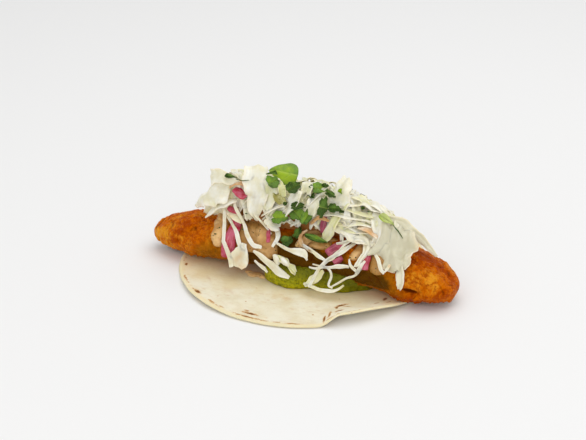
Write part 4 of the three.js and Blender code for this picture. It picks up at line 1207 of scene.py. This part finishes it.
def leaf_on(bm, spot, length, width, spin, lean, cup, lobes, deep, seed):
    """A leaflet that lies on the skin, waved and cupped, with its stalk towards -x."""
    vein_layer = bm.verts.layers.float["vein"]
    deep_layer = bm.verts.layers.float["deep"]
    middle = skin(*spot)
    out = (skin(spot[0], spot[1], spot[2] + 4) - middle).normalized()
    lengthwise = (skin(spot[0] + 3, *spot[1:]) - skin(spot[0] - 3, *spot[1:])).normalized()
    lengthwise = Matrix.Rotation(math.radians(spin), 3, out) @ lengthwise
    crosswise = Matrix.Rotation(math.radians(lean), 3, lengthwise) @ out.cross(lengthwise)
    normal = lengthwise.cross(crosswise)

    def flat(u, v):
        a, b = 2 * u - 1, 2 * v - 1
        x = a * math.sqrt(1 - b * b / 2)
        y = b * math.sqrt(1 - a * a / 2)
        if not lobes:
            return x, y * math.sqrt((1 - x) / 2) / 0.77
        bearing = math.atan2(y, x)
        reach = math.hypot(x, y)
        lobe = abs(math.cos(bearing * lobes / 2)) ** 0.6
        tooth = 0.05 * math.cos(bearing * lobes * 3 + seed)
        reach *= blend(1, 0.64 + 0.36 * lobe + tooth, reach)
        return reach * math.cos(bearing), reach * math.sin(bearing)

    def blade(u, v):
        x, y = flat(u, v)
        wave = 0.5 * math.sin(3 * x + 2 * y + seed) + 0.4 * noise.noise(Vector((x * 2, y * 2, seed)))
        rise = cup * (abs(y) ** 1.3 + 0.4 * x * x) - 0.4 * math.exp(-((y / 0.12) ** 2)) + wave
        return middle + lengthwise * (x * length / 2) + crosswise * (y * width / 2) + normal * rise

    for vert, u, v in grid(bm, 28, 28, blade):
        x, y = flat(u, v)
        side_veins = abs(math.sin(5 * x - 4 * abs(y)))
        vert[vein_layer] = max(clamp(1 - abs(y) * 9), 0.7 * clamp(1 - side_veins * 4))
        # Painted shade: more towards the rim, and more on one half of the blade than the other.
        vert[deep_layer] = deep + 0.3 * math.hypot(x, y) ** 4 + (0.16 if y < 0 else -0.08)


shade = Shade("cilantro_green")
wash = shade.cloud(4, detail=3)
vein = shade.own("vein")
shadow = shade.own("deep") + (wash - 0.5) * 0.9
colour = shade.mix(shade.step(shadow, 0.0, 0.55), LEAF_LIME, LEAF_GREEN)
colour = shade.mix(shade.step(shadow, 0.45, 1.0), colour, LEAF_DEEP)
colour = shade.mix(shade.step(shade.own("deep"), -0.1, -0.6), colour, LEAF_PALE)
colour = shade.mix(vein * 0.35, colour, LEAF_VEIN)
leaf_green = shade.surface({
    "Base Color": colour,
    "Roughness": 0.45,
    "Specular IOR Level": 0.35,
    "Specular Tint": paint(225, 240, 170),
    "Normal": shade.bump(shade.cloud(1.2) * 0.6 - vein, 0.3),
}, soft=(0.2, 1.0))
for number, leaf in enumerate(LEAVES):
    bm = bmesh.new()
    bm.verts.layers.float.new("vein")
    bm.verts.layers.float.new("deep")
    leaf_on(bm, *leaf, seed=number * 2.3)
    leaflet = finished(shown(f"cilantro_leaf_{number + 1}", bm, leaf_green), LEAF_THICK)
    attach(leaflet, "root")
    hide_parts(f"cilantro_{number + 1}")

# ---------------------------------------------------------------- herb bits and stalks
# Chopped cilantro and cracked herbs that cling to the crema and the cabbage, the thin stalks
# of two leaflets, and small leaflets that have dropped off the others.
BITS = [  # x, around, lift, length, width
    (-47, 40, 2.4, 1.8, 0.9), (-48, 28, 2.4, 1.6, 0.9), (-31, 62, 3.6, 2.0, 1.2),
    (-31, 42, 3.4, 3.4, 1.6), (-16, 50, 4.2, 1.2, 1.0),
    (42, 81, 5.4, 1.6, 2.0), (26, 75, 3.6, 2.2, 1.6), (-11, 75, 3.6, 1.6, 1.2),
    (36, 24, 2.6, 1.2, 0.9), (-20, 76, 3.4, 1.2, 1.0), (5, 72, 3.8, 1.6, 1.0),
]
LOOSE_BITS = 14
BIT_THICK = 0.5
STALKS = [
    ([(-38.5, 78.5, 9.6), (-34.5, 80, 7.6), (-31, 82, 6)], [0.9, 0.8, 0.6]),
    ([(57.4, 79, 6.6), (60.5, 77, 6.4), (64, 72, 5.8)], [0.6, 0.8, 0.6]),
]
SPRIGS = [  # the small leaflets, each given as in LEAVES
    ((0.8, 69, 7.4), 8.5, 5.5, 20, 22, 1.4, 3, 1.0),
    ((24, 87.5, 5), 4.5, 3.2, 35, 36, 0.8, 0, 0.1),
    ((-18.5, 87, 7.6), 7, 4.5, 186, 40, 1.4, 0, 0.75),
    ((7, 85, 4.4), 4.5, 3, -30, 30, 0.8, 3, 0.9),
    ((14.6, 85.5, 6), 5, 3, 30, 30, 0.8, 3, 1.0),
    ((-7, 72, 4.6), 4, 2.4, 70, 20, 0.8, 3, 1.0),
    ((26.5, 74, 4.4), 3.4, 2.6, 20, 20, 0.6, 3, 1.0),
    ((38, 83, 4), 2.6, 2.4, 70, 20, 0.4, 3, 0.8),
]
bm = bmesh.new()
for name in (*LEAF_LAYERS, "vein", "deep"):
    bm.verts.layers.float.new(name)
deep_layer = bm.verts.layers.float["deep"]
for points, widths in STALKS:
    ribbon(bm, points, widths, steps=12, across=3)
bits = list(BITS)
for _ in range(LOOSE_BITS):
    bits.append((draw.uniform(-50, 50), draw.uniform(58, 150), draw.uniform(1.0, 2.6),
                 draw.uniform(0.8, 2.2), draw.uniform(0.6, 1.4)))
for x, around, lift, length, width in bits:
    middle = skin(x, around, lift)
    turn = Matrix.Rotation(draw.uniform(0, math.pi), 3, "Z")
    turn = turn @ Matrix.Diagonal((length, width, BIT_THICK))
    for vert in bmesh.ops.create_icosphere(bm, subdivisions=2, radius=0.5)["verts"]:
        ripple = 1 + 0.5 * noise.noise(vert.co * 4 + middle)
        vert.co = (turn @ vert.co * ripple + middle) * MM
for vert in bm.verts:
    vert[deep_layer] = 0.95
for number, leaf in enumerate(SPRIGS):
    leaf_on(bm, *leaf, seed=80 + number * 1.9)
herbs = shown("chopped_herbs", bm, leaf_green)
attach(herbs, "root")

# ---------------------------------------------------------------- last update
bpy.context.view_layer.update()
